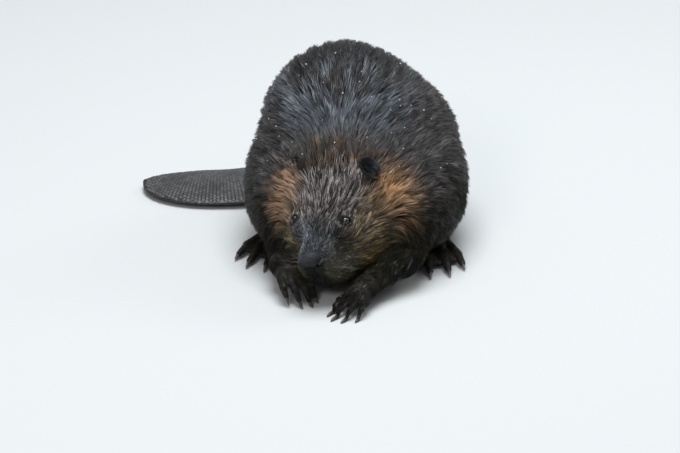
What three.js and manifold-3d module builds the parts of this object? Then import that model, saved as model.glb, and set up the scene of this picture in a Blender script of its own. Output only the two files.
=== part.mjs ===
// Beaver crouched over its food, life size, in millimetres. +Z up, the floor at Z = 0, facing -Y; its left side is +X.
// The origin is the middle of the flat under the belly.
// The whole animal is one smooth form of blended balls and limbs, out to the tips of the coat. It is meshed by marching
// tetrahedra, thinned by collapsing edges, cut level with the floor, and parted into named pieces by thin cuts.
import * as THREE from "three";
import Module from "manifold-3d";

// ---- Driving sizes ----
const GAP = 0.3; // clearance between neighbouring pieces
const FLOOR = 0; // level of every flat the animal rests on
const HEAD_AT = [-29.5, -206, 74.5]; // tip of the nose
const HEAD_TURN = [14.2, 24.4, 9.6]; // head's turn to its right, pitch down and roll, in degrees
const TAIL_HALF_WIDTH = 57, TAIL_HALF_THICK = 8.5;
const BUDGET = { body: 2540, arm: 540, foot: 380 }; // triangles kept in each form
const COAT = { body: [0.35, 0.31, 0.29], dark: [0.22, 0.2, 0.2], cheek: [0.42, 0.29, 0.2], skin: [0.09, 0.09, 0.1] };

// ---- Forms: [kind, place, size, blend, turn] ----
// ball: centre, half axes, blend, [turn about Z, X, Y in degrees]. limb: [start, end], [radius at each], blend.
const TRUNK = [
  ["ball", [8, 98, 106], [134, 118, 108], 30],
  ["ball", [-10, 62, 150], [108, 114, 108], 34],
  ["ball", [9, 10, 84], [134, 122, 86], 40],
  ["ball", [4, -58, 88], [110, 70, 90], 40],
  ["ball", [6, 160, 82], [88, 66, 72], 40],
];
const THIGHS = [
  ["ball", [105, 8, 74], [49, 94, 70], 30, [-8, 0, 0]],
  ["ball", [-86, 8, 72], [48, 94, 68], 30, [8, 0, 0]],
];
const UPPER_ARMS = [
  ["limb", [[80, -62, 88], [89, -108, 44]], [46, 28], 26],
  ["limb", [[-62, -62, 86], [-69, -102, 44]], [44, 27], 26],
];
const NECK = [
  ["ball", [6, -90, 80], [92, 50, 60], 26],
];
// Head forms are in the head's own axes: forward from the nose tip, left, up.
const HEAD = [
  ["ball", [-102, 0, -8], [46, 46, 34], 14],
  ["limb", [[-74, 0, -12], [-20, 0, -14]], [28, 17.5], 18],
  ["ball", [-61, 30, -4], [21, 14.5, 15], 10],
  ["ball", [-61, -30, -4], [21, 14.5, 15], 10],
  ["ball", [-82, 34, -46], [44, 32, 40], 24],
  ["ball", [-82, -34, -46], [44, 32, 40], 24],
  ["ball", [-25, 14, -32], [22, 16, 19], 14],
  ["ball", [-25, -14, -32], [22, 16, 19], 14],
  ["ball", [-42, 18, -57], [30, 21, 24], 16],
  ["ball", [-42, -18, -57], [30, 21, 24], 16],
  ["limb", [[-27, 0, -59], [-80, 0, -64]], [17, 28], 12],
  ["ball", [-114, 26, -46], [40, 44, 46], 22],
  ["ball", [-114, -26, -46], [40, 44, 46], 22],
];
const NOSE = [
  ["ball", [-6, 0, -8.5], [11, 14, 12.5], 5],
  ["ball", [-5.5, 8.5, -12.5], [8.5, 7.5, 8.5], 4],
  ["ball", [-5.5, -8.5, -12.5], [8.5, 7.5, 8.5], 4],
];
const NOSE_CUT = { at: [-1, 0, -11.5], size: [14.5, 18, 16] };
const EYE = { at: [-59.2, 34.7, 6], radius: 6 };
const EAR = { at: [-134, 55, 16.5], size: [6, 12, 20], up: 10, hollow: [8.5, 9.6, 16.5], cup: [5.6, 0, 12], lean: [60, -20, 14], cut: [10.5, 15.5, 23.5] };
const ARMS = {
  left: [["limb", [[80, -122, 40], [42, -178, 24]], [25, 15], 14]],
  right: [["limb", [[-66, -114, 40], [-66, -146, 33]], [24, 16], 14]],
};
const PAWS = {
  left: { at: [40, -184, 22], turn: [-38, 14, -6] },
  right: { at: [-64, -150, 32], turn: [44, 14, 6] },
};
const PAW = [
  ["limb", [[0, 10, 2], [0, -8, 0]], [15, 14], 8],
  ["ball", [0, -14, -2], [19, 15, 11], 8],
];
// Digits of a forepaw: root, knuckle and tip, and the claw's length.
const FORE_DIGITS = [
  [[-17, -12, -3], [-24, -22, -6], [-25, -31, -13], 8],
  [[-11, -22, -1], [-14, -38, -3], [-14, -50, -12], 15],
  [[-1, -25, 0], [-1, -43, -2], [-1, -56, -12], 16],
  [[9, -23, -1], [12, -39, -3], [12, -51, -12], 15],
  [[16, -15, -3], [22, -28, -5], [23, -38, -12], 12],
];
const FEET = {
  left: { at: [100, 30, 0], turn: [8, 0, 0] },
  right: { at: [-80, 30, 0], turn: [-8, 0, 0] },
};
const FOOT = [
  ["limb", [[0, 62, 16], [0, 4, 17]], [17, 21], 12],
  ["ball", [0, -20, 12], [30, 40, 15], 14],
  ["ball", [0, -62, 7], [44, 32, 7], 12],
];
const HIND_DIGITS = [
  [[-24, -28, 9], [-38, -62, 9], [-44, -84, 6], 11],
  [[-13, -32, 12], [-21, -78, 10], [-24, -104, 6], 13],
  [[0, -34, 13], [0, -84, 11], [0, -113, 6], 15],
  [[13, -32, 12], [21, -80, 10], [24, -108, 6], 14],
  [[24, -28, 9], [38, -66, 9], [43, -90, 6], 12],
];
const TAIL_PATH = [[6, 176, 62], [-4, 206, 34], [-42, 208, 20], [-96, 184, 12], [-160, 160, 9], [-226, 152, 8], [-292, 160, 7]];

// ---- Small vector helpers ----
const rad = THREE.MathUtils.degToRad;
const axesOf = ([z, x, y]) => {
  const m = new THREE.Matrix4().makeRotationFromEuler(new THREE.Euler(rad(x), rad(y), rad(z), "ZXY")).elements;
  return [[m[0], m[1], m[2]], [m[4], m[5], m[6]], [m[8], m[9], m[10]]];
};
const into = (p, at, [a, b, c]) => {
  const x = p[0] - at[0], y = p[1] - at[1], z = p[2] - at[2];
  return [x * a[0] + y * a[1] + z * a[2], x * b[0] + y * b[1] + z * b[2], x * c[0] + y * c[1] + z * c[2]];
};
const outOf = (q, at, axes) => at.map((c, i) => c + q[0] * axes[0][i] + q[1] * axes[1][i] + q[2] * axes[2][i]);

// The head's axes in the part's frame: forward, left, up.
const headAxes = (() => {
  const [yaw, pitch, roll] = HEAD_TURN.map(rad);
  const f = new THREE.Vector3(-Math.sin(yaw) * Math.cos(pitch), -Math.cos(yaw) * Math.cos(pitch), -Math.sin(pitch));
  const l0 = new THREE.Vector3(Math.cos(yaw), -Math.sin(yaw), 0);
  const u0 = f.clone().cross(l0);
  const l = l0.multiplyScalar(Math.cos(roll)).addScaledVector(u0, Math.sin(roll));
  const u = f.clone().cross(l);
  return [f, l, u].map((v) => v.toArray());
})();

// ---- Distance to each kind of form ----
const smooth = (a, b, k) => {
  const h = Math.max(k - Math.abs(a - b), 0) / k;
  return Math.min(a, b) - (h * h * k) / 4;
};
const ball = (p, c, r, axes) => {
  const q = axes ? into(p, c, axes) : [p[0] - c[0], p[1] - c[1], p[2] - c[2]];
  const x = q[0] / r[0], y = q[1] / r[1], z = q[2] / r[2];
  const k0 = Math.sqrt(x * x + y * y + z * z);
  if (k0 < 1e-6) return -Math.min(r[0], r[1], r[2]);
  const a = x / r[0], b = y / r[1], d = z / r[2];
  return (k0 * (k0 - 1)) / Math.sqrt(a * a + b * b + d * d);
};
const limb = (p, a, b, ra, rb) => {
  const d = [b[0] - a[0], b[1] - a[1], b[2] - a[2]], e = [p[0] - a[0], p[1] - a[1], p[2] - a[2]];
  const t = Math.min(1, Math.max(0, (d[0] * e[0] + d[1] * e[1] + d[2] * e[2]) / (d[0] * d[0] + d[1] * d[1] + d[2] * d[2])));
  const x = e[0] - t * d[0], y = e[1] - t * d[1], z = e[2] - t * d[2];
  return Math.sqrt(x * x + y * y + z * z) - (ra + (rb - ra) * t);
};
const readied = (forms) => forms.map((f) => [...f.slice(0, 4), f[4] ? axesOf(f[4]) : null]);
const blended = (forms) => {
  const list = readied(forms);
  return (p, start = 1e3) => {
    let d = start;
    for (const [kind, where, size, k, axes] of list)
      d = smooth(d, kind === "ball" ? ball(p, where, size, axes) : limb(p, where[0], where[1], size[0], size[1]), k);
    return d;
  };
};

// ---- The tail: a flat paddle along a curve ----
const tailCurve = new THREE.CatmullRomCurve3(TAIL_PATH.map((p) => new THREE.Vector3(...p)));
const TAIL_STEPS = 44;
const tailPoints = Array.from({ length: TAIL_STEPS + 1 }, (_, i) => tailCurve.getPoint(i / TAIL_STEPS).toArray());
const ramp = (t, a, b) => {
  const s = Math.min(1, Math.max(0, (t - a) / (b - a)));
  return s * s * (3 - 2 * s);
};
const tailWide = (t) => (34 + (TAIL_HALF_WIDTH - 34) * ramp(t, 0.22, 0.62)) * Math.sqrt(Math.max(0.0016, 1 - Math.pow(Math.max(0, t - 0.74) / 0.26, 2.2)));
const tailThick = (t) => 32 + (TAIL_HALF_THICK + 6 - 32) * ramp(t, 0.02, 0.36) - 6 * ramp(t, 0.3, 0.8) - 2 * ramp(t, 0.8, 1);
const tail = (p) => {
  // Far from the tail its distance need not be exact.
  const off = Math.hypot(Math.max(-310 - p[0], p[0] - 12, 0), Math.max(145 - p[1], p[1] - 216, 0), Math.max(p[2] - 66, 0));
  if (off > 120) return off - 60;
  let best = 1e9, at = 0, across = 0, up = 0;
  for (let i = 0; i < TAIL_STEPS; i++) {
    const a = tailPoints[i], b = tailPoints[i + 1];
    const dx = b[0] - a[0], dy = b[1] - a[1], ll = dx * dx + dy * dy;
    const s = Math.min(1, Math.max(0, ((p[0] - a[0]) * dx + (p[1] - a[1]) * dy) / ll));
    const ex = p[0] - a[0] - s * dx, ey = p[1] - a[1] - s * dy, d = ex * ex + ey * ey;
    if (d < best) {
      best = d; at = (i + s) / TAIL_STEPS;
      across = Math.sqrt(d); up = p[2] - (a[2] + s * (b[2] - a[2]));
    }
  }
  const w = tailWide(at), h = tailThick(at), x = across / w, z = up / h, k0 = Math.hypot(x, z);
  return k0 < 1e-6 ? -h : (k0 * (k0 - 1)) / Math.hypot(x / w, z / h);
};

// ---- The body: trunk, thighs, tail, neck and head in one ----
const trunkForm = blended([...TRUNK, ...THIGHS, ...UPPER_ARMS]);
const neckForm = blended(NECK);
const headForm = blended(HEAD);
const noseForm = blended(NOSE);
const earAxes = (side) => axesOf([side * EAR.lean[0], side * EAR.lean[2], EAR.lean[1]]);
const ear = (q, side) => {
  const at = [EAR.at[0], side * EAR.at[1], EAR.at[2]];
  const r = into(q, at, earAxes(side));
  const shell = ball(r, [0, 0, EAR.up], EAR.size);
  const cup = ball(r, EAR.cup, EAR.hollow);
  return Math.max(shell, -cup);
};
const head = (p) => {
  const q = into(p, HEAD_AT, headAxes);
  let d = headForm(q);
  d = noseForm(q, d);
  return d;
};
const ears = (p) => {
  const q = into(p, HEAD_AT, headAxes);
  return Math.min(ear(q, 1), ear(q, -1));
};
const body = (p) => {
  let d = smooth(trunkForm(p), tail(p), 26);
  d = smooth(d, smooth(neckForm(p), head(p), 20), 26);
  return smooth(d, ears(p), 5);
};

// ---- Paws and feet: a palm or sole, five digits with their claws ----
const extremity = (place, palm, digits, thick, claw) => {
  const axes = axesOf(place.turn), form = blended(palm);
  return (p) => {
    const q = into(p, place.at, axes);
    let d = form(q);
    for (const [root, knuckle, tip, length] of digits) {
      d = smooth(d, limb(q, root, knuckle, thick, thick * 0.86), 5);
      d = smooth(d, limb(q, knuckle, tip, thick * 0.86, thick * 0.66), 2);
      const run = tip.map((c, i) => c - knuckle[i]), n = Math.hypot(...run);
      const end = tip.map((c, i) => c + (run[i] / n) * length + (i === 2 ? -0.12 * length : 0));
      d = smooth(d, limb(q, tip, end, claw, 0.9), 1.5);
    }
    return d;
  };
};
const paws = {}, feet = {}, arms = {};
for (const side of ["left", "right"]) {
  const s = side === "left" ? 1 : -1;
  const mirror = (list) => list.map(([a, b, c, n]) => [...[a, b, c].map(([x, y, z]) => [s * x, y, z]), n]);
  paws[side] = extremity(PAWS[side], PAW, mirror(FORE_DIGITS), 5.6, 2.4);
  feet[side] = extremity(FEET[side], FOOT, mirror(HIND_DIGITS), 7, 2.8);
  arms[side] = blended(ARMS[side]);
}

// ---- Marching tetrahedra on a grid whose spacing may change ----
const TETS = [[0, 5, 1, 6], [0, 1, 2, 6], [0, 2, 3, 6], [0, 3, 7, 6], [0, 7, 4, 6], [0, 4, 5, 6]];
const CORNERS = [[0, 0, 0], [1, 0, 0], [1, 1, 0], [0, 1, 0], [0, 0, 1], [1, 0, 1], [1, 1, 1], [0, 1, 1]];
const lines = (low, high, steps) => {
  const out = [low];
  while (out[out.length - 1] < high) {
    const x = out[out.length - 1];
    const step = (steps.find(([a, b]) => x >= a && x < b) || [0, 0, steps.coarse])[2];
    out.push(x + step);
  }
  return out;
};
const meshed = (field, xs, ys, zs) => {
  const nx = xs.length, ny = ys.length, nz = zs.length;
  const value = new Float32Array(nx * ny * nz).fill(NaN);
  const id = (i, j, k) => (k * ny + j) * nx + i;
  // Blocks of cells far from the surface are filled with their middle's value.
  const B = 6;
  for (let k0 = 0; k0 < nz; k0 += B)
    for (let j0 = 0; j0 < ny; j0 += B)
      for (let i0 = 0; i0 < nx; i0 += B) {
        const i1 = Math.min(nx - 1, i0 + B), j1 = Math.min(ny - 1, j0 + B), k1 = Math.min(nz - 1, k0 + B);
        const mid = [(xs[i0] + xs[i1]) / 2, (ys[j0] + ys[j1]) / 2, (zs[k0] + zs[k1]) / 2];
        const reach = Math.hypot(xs[i1] - xs[i0], ys[j1] - ys[j0], zs[k1] - zs[k0]) / 2;
        const v = field(mid), far = Math.abs(v) > reach * 1.6 + 4;
        for (let k = k0; k < Math.min(nz, k0 + B); k++)
          for (let j = j0; j < Math.min(ny, j0 + B); j++)
            for (let i = i0; i < Math.min(nx, i0 + B); i++) {
              // The outermost layer always counts as outside, so every form closes.
              const edge = !i || !j || !k || i === nx - 1 || j === ny - 1 || k === nz - 1;
              const f = edge ? 5 : far ? v : field([xs[i], ys[j], zs[k]]);
              value[id(i, j, k)] = Math.abs(f) < 1e-3 ? (f < 0 ? -1e-3 : 1e-3) : f;
            }
      }
  const vertex = new Map(), position = [], index = [];
  const at = (n) => [xs[n % nx], ys[Math.floor(n / nx) % ny], zs[Math.floor(n / (nx * ny))]];
  const cross = (a, b) => {
    if (a > b) [a, b] = [b, a];
    const key = a * 8388608 + (b - a);
    let v = vertex.get(key);
    if (v === undefined) {
      const t = value[a] / (value[a] - value[b]), pa = at(a), pb = at(b);
      v = position.length / 3;
      position.push(...pa.map((c, i) => c + t * (pb[i] - c)));
      vertex.set(key, v);
    }
    return v;
  };
  for (let k = 0; k < nz - 1; k++)
    for (let j = 0; j < ny - 1; j++)
      for (let i = 0; i < nx - 1; i++) {
        const c = CORNERS.map(([a, b, d]) => id(i + a, j + b, k + d));
        let inside = 0;
        for (const n of c) inside += value[n] < 0 ? 1 : 0;
        if (inside === 0 || inside === 8) continue;
        for (const t of TETS) {
          const n = t.map((x) => c[x]);
          const neg = n.filter((x) => value[x] < 0), pos = n.filter((x) => value[x] >= 0);
          if (!neg.length || !pos.length) continue;
          // Faces are turned outwards by the parity of the corner order, which holds for slivers too.
          const order = (list) => {
            const [p0, p1, p2, p3] = list.map(at);
            const e1 = p1.map((x, m) => x - p0[m]), e2 = p2.map((x, m) => x - p0[m]), e3 = p3.map((x, m) => x - p0[m]);
            return e1[0] * (e2[1] * e3[2] - e2[2] * e3[1]) - e1[1] * (e2[0] * e3[2] - e2[2] * e3[0]) + e1[2] * (e2[0] * e3[1] - e2[1] * e3[0]);
          };
          if (neg.length === 1 || pos.length === 1) {
            const lone = neg.length === 1 ? neg[0] : pos[0], rest = neg.length === 1 ? pos : neg;
            const v = rest.map((x) => cross(lone, x));
            const right = order([lone, ...rest]) > 0 === (neg.length === 1);
            index.push(...(right ? v : [v[0], v[2], v[1]]));
          } else {
            const [a, b] = neg, [d, e] = pos;
            const q = [cross(a, d), cross(a, e), cross(b, e), cross(b, d)];
            const right = order([a, b, d, e]) > 0;
            if (right) index.push(q[0], q[1], q[2], q[0], q[2], q[3]);
            else index.push(q[0], q[2], q[1], q[0], q[3], q[2]);
          }
        }
      }
  return { position: Float64Array.from(position), index: Uint32Array.from(index) };
};

// ---- Thinning: collapse the edge that moves the surface least, again and again ----
const thinned = (mesh, keep, weight) => {
  const P = mesh.position, F = Int32Array.from(mesh.index), nv = P.length / 3, nf = F.length / 3;
  const Q = new Float64Array(nv * 10), around = Array.from({ length: nv }, () => []), dead = new Uint8Array(nf), gone = new Uint8Array(nv);
  const normal = (a, b, c) => {
    const ux = P[3 * b] - P[3 * a], uy = P[3 * b + 1] - P[3 * a + 1], uz = P[3 * b + 2] - P[3 * a + 2];
    const vx = P[3 * c] - P[3 * a], vy = P[3 * c + 1] - P[3 * a + 1], vz = P[3 * c + 2] - P[3 * a + 2];
    return [uy * vz - uz * vy, uz * vx - ux * vz, ux * vy - uy * vx];
  };
  const span = (a, b) => (P[3 * a] - P[3 * b]) ** 2 + (P[3 * a + 1] - P[3 * b + 1]) ** 2 + (P[3 * a + 2] - P[3 * b + 2]) ** 2;
  const longest = ([a, b, c]) => Math.max(span(a, b), span(b, c), span(c, a)) + 1e-12;
  for (let f = 0; f < nf; f++) {
    const v = [F[3 * f], F[3 * f + 1], F[3 * f + 2]], n = normal(...v), len = Math.hypot(...n);
    for (const x of v) around[x].push(f);
    if (len < 1e-12) continue;
    const [a, b, c] = n.map((x) => x / len), w = (len / 2) * weight([P[3 * v[0]], P[3 * v[0] + 1], P[3 * v[0] + 2]]);
    const d = -(a * P[3 * v[0]] + b * P[3 * v[0] + 1] + c * P[3 * v[0] + 2]);
    const q = [a * a, a * b, a * c, a * d, b * b, b * c, b * d, c * c, c * d, d * d];
    for (const x of v) for (let i = 0; i < 10; i++) Q[10 * x + i] += w * q[i];
  }
  const version = new Int32Array(nv);
  const cost = (q, x, y, z) => q[0] * x * x + 2 * q[1] * x * y + 2 * q[2] * x * z + 2 * q[3] * x + q[4] * y * y + 2 * q[5] * y * z + 2 * q[6] * y + q[7] * z * z + 2 * q[8] * z + q[9];
  const best = (a, b) => {
    const q = new Float64Array(10);
    for (let i = 0; i < 10; i++) q[i] = Q[10 * a + i] + Q[10 * b + i];
    const mx = (P[3 * a] + P[3 * b]) / 2, my = (P[3 * a + 1] + P[3 * b + 1]) / 2, mz = (P[3 * a + 2] + P[3 * b + 2]) / 2;
    const len = Math.hypot(P[3 * a] - P[3 * b], P[3 * a + 1] - P[3 * b + 1], P[3 * a + 2] - P[3 * b + 2]);
    // A slight pull to the middle keeps the answer steady where the surface is flat.
    const s = 1e-3 * (q[0] + q[4] + q[7]) + 1e-12;
    const A = [q[0] + s, q[1], q[2], q[1], q[4] + s, q[5], q[2], q[5], q[7] + s], B = [s * mx - q[3], s * my - q[6], s * mz - q[8]];
    const det = A[0] * (A[4] * A[8] - A[5] * A[7]) - A[1] * (A[3] * A[8] - A[5] * A[6]) + A[2] * (A[3] * A[7] - A[4] * A[6]);
    let x = mx, y = my, z = mz;
    if (Math.abs(det) > 1e-30) {
      x = (B[0] * (A[4] * A[8] - A[5] * A[7]) - A[1] * (B[1] * A[8] - A[5] * B[2]) + A[2] * (B[1] * A[7] - A[4] * B[2])) / det;
      y = (A[0] * (B[1] * A[8] - A[5] * B[2]) - B[0] * (A[3] * A[8] - A[5] * A[6]) + A[2] * (A[3] * B[2] - B[1] * A[6])) / det;
      z = (A[0] * (A[4] * B[2] - B[1] * A[7]) - A[1] * (A[3] * B[2] - B[1] * A[6]) + B[0] * (A[3] * A[7] - A[4] * A[6])) / det;
      if (Math.hypot(x - mx, y - my, z - mz) > 1.2 * len) [x, y, z] = [mx, my, mz];
    }
    return [Math.max(0, cost(q, x, y, z)) + 2e-4 * len * len * len, x, y, z];
  };
  const heap = [];
  const push = (e) => {
    let i = heap.length;
    heap.push(e);
    while (i && heap[(i - 1) >> 1][0] > e[0]) { heap[i] = heap[(i - 1) >> 1]; i = (i - 1) >> 1; }
    heap[i] = e;
  };
  const pop = () => {
    const top = heap[0], last = heap.pop();
    if (heap.length) {
      let i = 0;
      for (;;) {
        let c = 2 * i + 1;
        if (c >= heap.length) break;
        if (c + 1 < heap.length && heap[c + 1][0] < heap[c][0]) c++;
        if (heap[c][0] >= last[0]) break;
        heap[i] = heap[c]; i = c;
      }
      heap[i] = last;
    }
    return top;
  };
  const enter = (a, b) => {
    const [c, x, y, z] = best(a, b);
    push([c, a, b, version[a], version[b], x, y, z]);
  };
  const neighbours = (v) => {
    const s = new Set();
    for (const f of around[v]) for (let i = 0; i < 3; i++) if (F[3 * f + i] !== v) s.add(F[3 * f + i]);
    return s;
  };
  let live = nf, pass = 0;
  while (live > keep && pass < 12) {
    // An edge refused once may be allowed after its surroundings have changed, so every edge gets more than one turn.
    if (!heap.length) {
      pass++;
      for (let f = 0; f < nf; f++)
        for (let i = 0; i < 3 && !dead[f]; i++) {
          const a = F[3 * f + i], b = F[3 * f + ((i + 1) % 3)];
          if (a < b) enter(a, b);
        }
    }
    const [, a, b, va, vb, x, y, z] = pop();
    if (gone[a] || gone[b] || version[a] !== va || version[b] !== vb) continue;
    const na = neighbours(a), nb = neighbours(b);
    let shared = 0;
    for (const v of na) if (nb.has(v)) shared++;
    if (shared !== 2) continue;
    const old = [P[3 * a], P[3 * a + 1], P[3 * a + 2], P[3 * b], P[3 * b + 1], P[3 * b + 2]];
    // Short edges go whatever shape they leave; later passes are less strict about long thin faces.
    const limit = span(a, b) < 1.2 ? 0 : Math.max(0, 0.14 - 0.035 * (pass - 1)), touched = [];
    for (const v of [a, b]) for (const f of around[v]) {
      const has = [F[3 * f], F[3 * f + 1], F[3 * f + 2]];
      if (has.includes(a) && has.includes(b)) continue;
      const n = normal(...has);
      touched.push([f, n, Math.hypot(...n) / longest(has)]);
    }
    P.set([x, y, z, x, y, z].slice(0, 3), 3 * a); P.set([x, y, z], 3 * b);
    let fine = true;
    for (const [f, n, was] of touched) {
      const v = [F[3 * f], F[3 * f + 1], F[3 * f + 2]], m = normal(...v), ln = Math.hypot(...n), lm = Math.hypot(...m), shape = lm / longest(v);
      if ((shape < limit && shape < was) || (was > 0.1 && n[0] * m[0] + n[1] * m[1] + n[2] * m[2] < 0.3 * ln * lm)) { fine = false; break; }
    }
    if (!fine) { P.set(old.slice(0, 3), 3 * a); P.set(old.slice(3), 3 * b); continue; }
    for (const f of around[b]) {
      if (dead[f]) continue;
      const i = [0, 1, 2].find((k) => F[3 * f + k] === b);
      if ([0, 1, 2].some((k) => F[3 * f + k] === a)) { dead[f] = 1; live--; } else { F[3 * f + i] = a; around[a].push(f); }
    }
    gone[b] = 1;
    for (const v of new Set([a, ...na, ...nb])) around[v] = around[v].filter((f) => !dead[f]);
    for (let i = 0; i < 10; i++) Q[10 * a + i] += Q[10 * b + i];
    version[a]++;
    for (const v of neighbours(a)) enter(a, v);
  }
  const name = new Map(), position = [], index = [];
  for (let f = 0; f < nf; f++) if (!dead[f]) for (let i = 0; i < 3; i++) {
    const v = F[3 * f + i];
    if (!name.has(v)) { name.set(v, position.length / 3); position.push(P[3 * v], P[3 * v + 1], P[3 * v + 2]); }
    index.push(name.get(v));
  }
  return { position: Float64Array.from(position), index: Uint32Array.from(index) };
};

// ---- Solids: joins and cuts ----
const wasm = await Module();
wasm.setup();
const { Manifold, Mesh } = wasm;
const solid = ({ position, index }) => new Manifold(new Mesh({ numProp: 3, vertProperties: Float32Array.from(position), triVerts: index }));
const fromGeometry = (geometry) => {
  const g = geometry.index ? geometry.toNonIndexed() : geometry, a = g.attributes.position, name = new Map(), position = [], index = [];
  for (let i = 0; i < a.count; i++) {
    const p = [a.getX(i), a.getY(i), a.getZ(i)], key = p.map((c) => Math.round(c * 1e4)).join();
    if (!name.has(key)) { name.set(key, position.length / 3); position.push(...p); }
    index.push(name.get(key));
  }
  const whole = [];
  for (let i = 0; i < index.length; i += 3) if (index[i] !== index[i + 1] && index[i + 1] !== index[i + 2] && index[i] !== index[i + 2]) whole.push(index[i], index[i + 1], index[i + 2]);
  return solid({ position, index: Uint32Array.from(whole) });
};
// A box between two corners in a set of axes, grown by a margin.
const boxIn = (low, high, at = [0, 0, 0], axes = [[1, 0, 0], [0, 1, 0], [0, 0, 1]], grow = 0) => {
  const size = high.map((h, i) => h - low[i] + 2 * grow), mid = high.map((h, i) => (h + low[i]) / 2);
  const g = new THREE.BoxGeometry(...size);
  const c = outOf(mid, at, axes), m = new THREE.Matrix4().makeBasis(...axes.map((v) => new THREE.Vector3(...v)));
  if (m.determinant() < 0) throw new Error("left-handed axes");
  m.setPosition(...c);
  g.applyMatrix4(m);
  return fromGeometry(g);
};
// The same form with every face pushed out by a distance.
const swollen = ({ position, index }, by) => {
  const N = new Float64Array(position.length), faces = [], P = position;
  for (let f = 0; f < index.length; f += 3) {
    const [a, b, c] = [index[f], index[f + 1], index[f + 2]];
    const u = [0, 1, 2].map((i) => P[3 * b + i] - P[3 * a + i]), w = [0, 1, 2].map((i) => P[3 * c + i] - P[3 * a + i]);
    const n = [u[1] * w[2] - u[2] * w[1], u[2] * w[0] - u[0] * w[2], u[0] * w[1] - u[1] * w[0]], l = Math.hypot(...n) || 1;
    for (const v of [a, b, c]) for (let i = 0; i < 3; i++) N[3 * v + i] += n[i];
    faces.push([[a, b, c], n.map((x) => x / l)]);
  }
  const least = new Float64Array(P.length / 3).fill(1);
  for (let v = 0; v < least.length; v++) {
    const l = Math.hypot(N[3 * v], N[3 * v + 1], N[3 * v + 2]) || 1;
    for (let i = 0; i < 3; i++) N[3 * v + i] /= l;
  }
  for (const [vs, n] of faces) for (const v of vs) least[v] = Math.min(least[v], Math.max(0.5, n[0] * N[3 * v] + n[1] * N[3 * v + 1] + n[2] * N[3 * v + 2]));
  return { position: P.map((x, i) => x + (N[i] * by) / least[Math.floor(i / 3)]), index };
};
const UNDER = boxIn([-600, -600, FLOOR - 300], [600, 600, FLOOR]);
const biggest = (s) => s.decompose().sort((a, b) => b.volume() - a.volume())[0];

// ---- Mesh each form ----
const within = (p, low, high) => p.every((c, i) => c > low[i] && c < high[i]);
const headWeight = (p) => {
  const q = into(p, HEAD_AT, headAxes);
  if (Math.abs(q[1]) > 26 && q[2] > 12 && q[0] < -95 && q[0] > -150) return 14;
  if (q[0] > -26) return 12;
  return q[0] > -120 && Math.abs(q[1]) < 80 && Math.abs(q[2]) < 90 ? 5 : 1;
};
const bodyMesh = thinned(
  meshed(body,
    lines(-372, 172, Object.assign([[-120, 70, 2.6]], { coarse: 4.5 })),
    lines(-236, 244, Object.assign([[-236, -70, 2.6]], { coarse: 4.5 })),
    lines(-12, 312, Object.assign([[-12, 40, 3], [40, 180, 2.6]], { coarse: 4.5 }))),
  BUDGET.body, headWeight);
const bodyOver = solid(swollen(bodyMesh, GAP + 0.15));
let bodySolid = solid(bodyMesh).subtract(UNDER);
const around = (form, at, low, high, step, keep) =>
  thinned(meshed(form, ...[0, 1, 2].map((i) => lines(at[i] + low[i], at[i] + high[i], Object.assign([], { coarse: step })))), keep, () => 1);

const parts = {};
const COLOURS = {};
const put = (name, piece, colour, roughness = 0.8) => {
  parts[name] = biggest(piece);
  COLOURS[name] = [colour, roughness];
};

// A ball or egg in a set of axes.
const eggIn = (size, at, axes, grow = 0, around = 18, high = 12) => {
  const g = new THREE.SphereGeometry(1, around, high);
  g.scale(...size.map((r) => r + grow));
  const m = new THREE.Matrix4().makeBasis(...axes.map((v) => new THREE.Vector3(...v)));
  m.setPosition(...at);
  g.applyMatrix4(m);
  return fromGeometry(g);
};

// Eyes: glossy balls in sockets that open outwards.
for (const [side, s] of [["left", 1], ["right", -1]]) {
  const c = outOf([EYE.at[0], s * EYE.at[1], EYE.at[2]], HEAD_AT, headAxes), r = [EYE.radius, EYE.radius, EYE.radius];
  put("eye_" + side, eggIn(r, c, headAxes, 0, 12, 8), [0.03, 0.025, 0.02], 0.12);
  bodySolid = bodySolid.subtract(eggIn(r, c, headAxes, GAP + 0.1, 12, 8));
}

// A piece parted from the body: the piece is what lies in the cutter, and the rest keeps the gap.
const part = (name, cutter, colour, roughness) => {
  put(name, bodySolid.intersect(cutter(0)), colour, roughness);
  bodySolid = bodySolid.subtract(cutter(GAP));
};
const SQUARE = [[1, 0, 0], [0, 1, 0], [0, 0, 1]];
const slab = (low, high, at = [0, 0, 0], axes = SQUARE) => (grow) => boxIn(low, high, at, axes, grow);
part("nose", (grow) => eggIn(NOSE_CUT.size, outOf(NOSE_CUT.at, HEAD_AT, headAxes), headAxes, grow, 14, 10), COAT.skin, 0.6);
for (const [side, s] of [["left", 1], ["right", -1]]) {
  const at = outOf([EAR.at[0], s * EAR.at[1], EAR.at[2]], HEAD_AT, headAxes), axes = earAxes(s).map((v) => outOf(v, [0, 0, 0], headAxes));
  part("ear_" + side, (grow) => eggIn(EAR.cut, outOf([0, 0, EAR.up + 0.5], at, axes), axes, grow, 12, 8), COAT.skin, 0.85);
}
part("head", slab([-132, -80, -88], [30, 80, 90], HEAD_AT, headAxes), COAT.cheek);
part("neck", slab([-172, -110, -88], [-132, 110, 90], HEAD_AT, headAxes), COAT.body);
part("tail_blade", slab([-420, 60, -20], [-104, 260, 28]), COAT.skin, 0.7);
part("tail_base", slab([-104 + GAP, 186, -20], [56, 260, 54]), COAT.dark);
for (const [side, at] of [["left", [140, 2, 58]], ["right", [-124, 2, 56]]])
  part("thigh_" + side, (grow) => eggIn([48, 92, 76], at, SQUARE, grow, 18, 12), COAT.body);
put("trunk", bodySolid, COAT.body);

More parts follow.
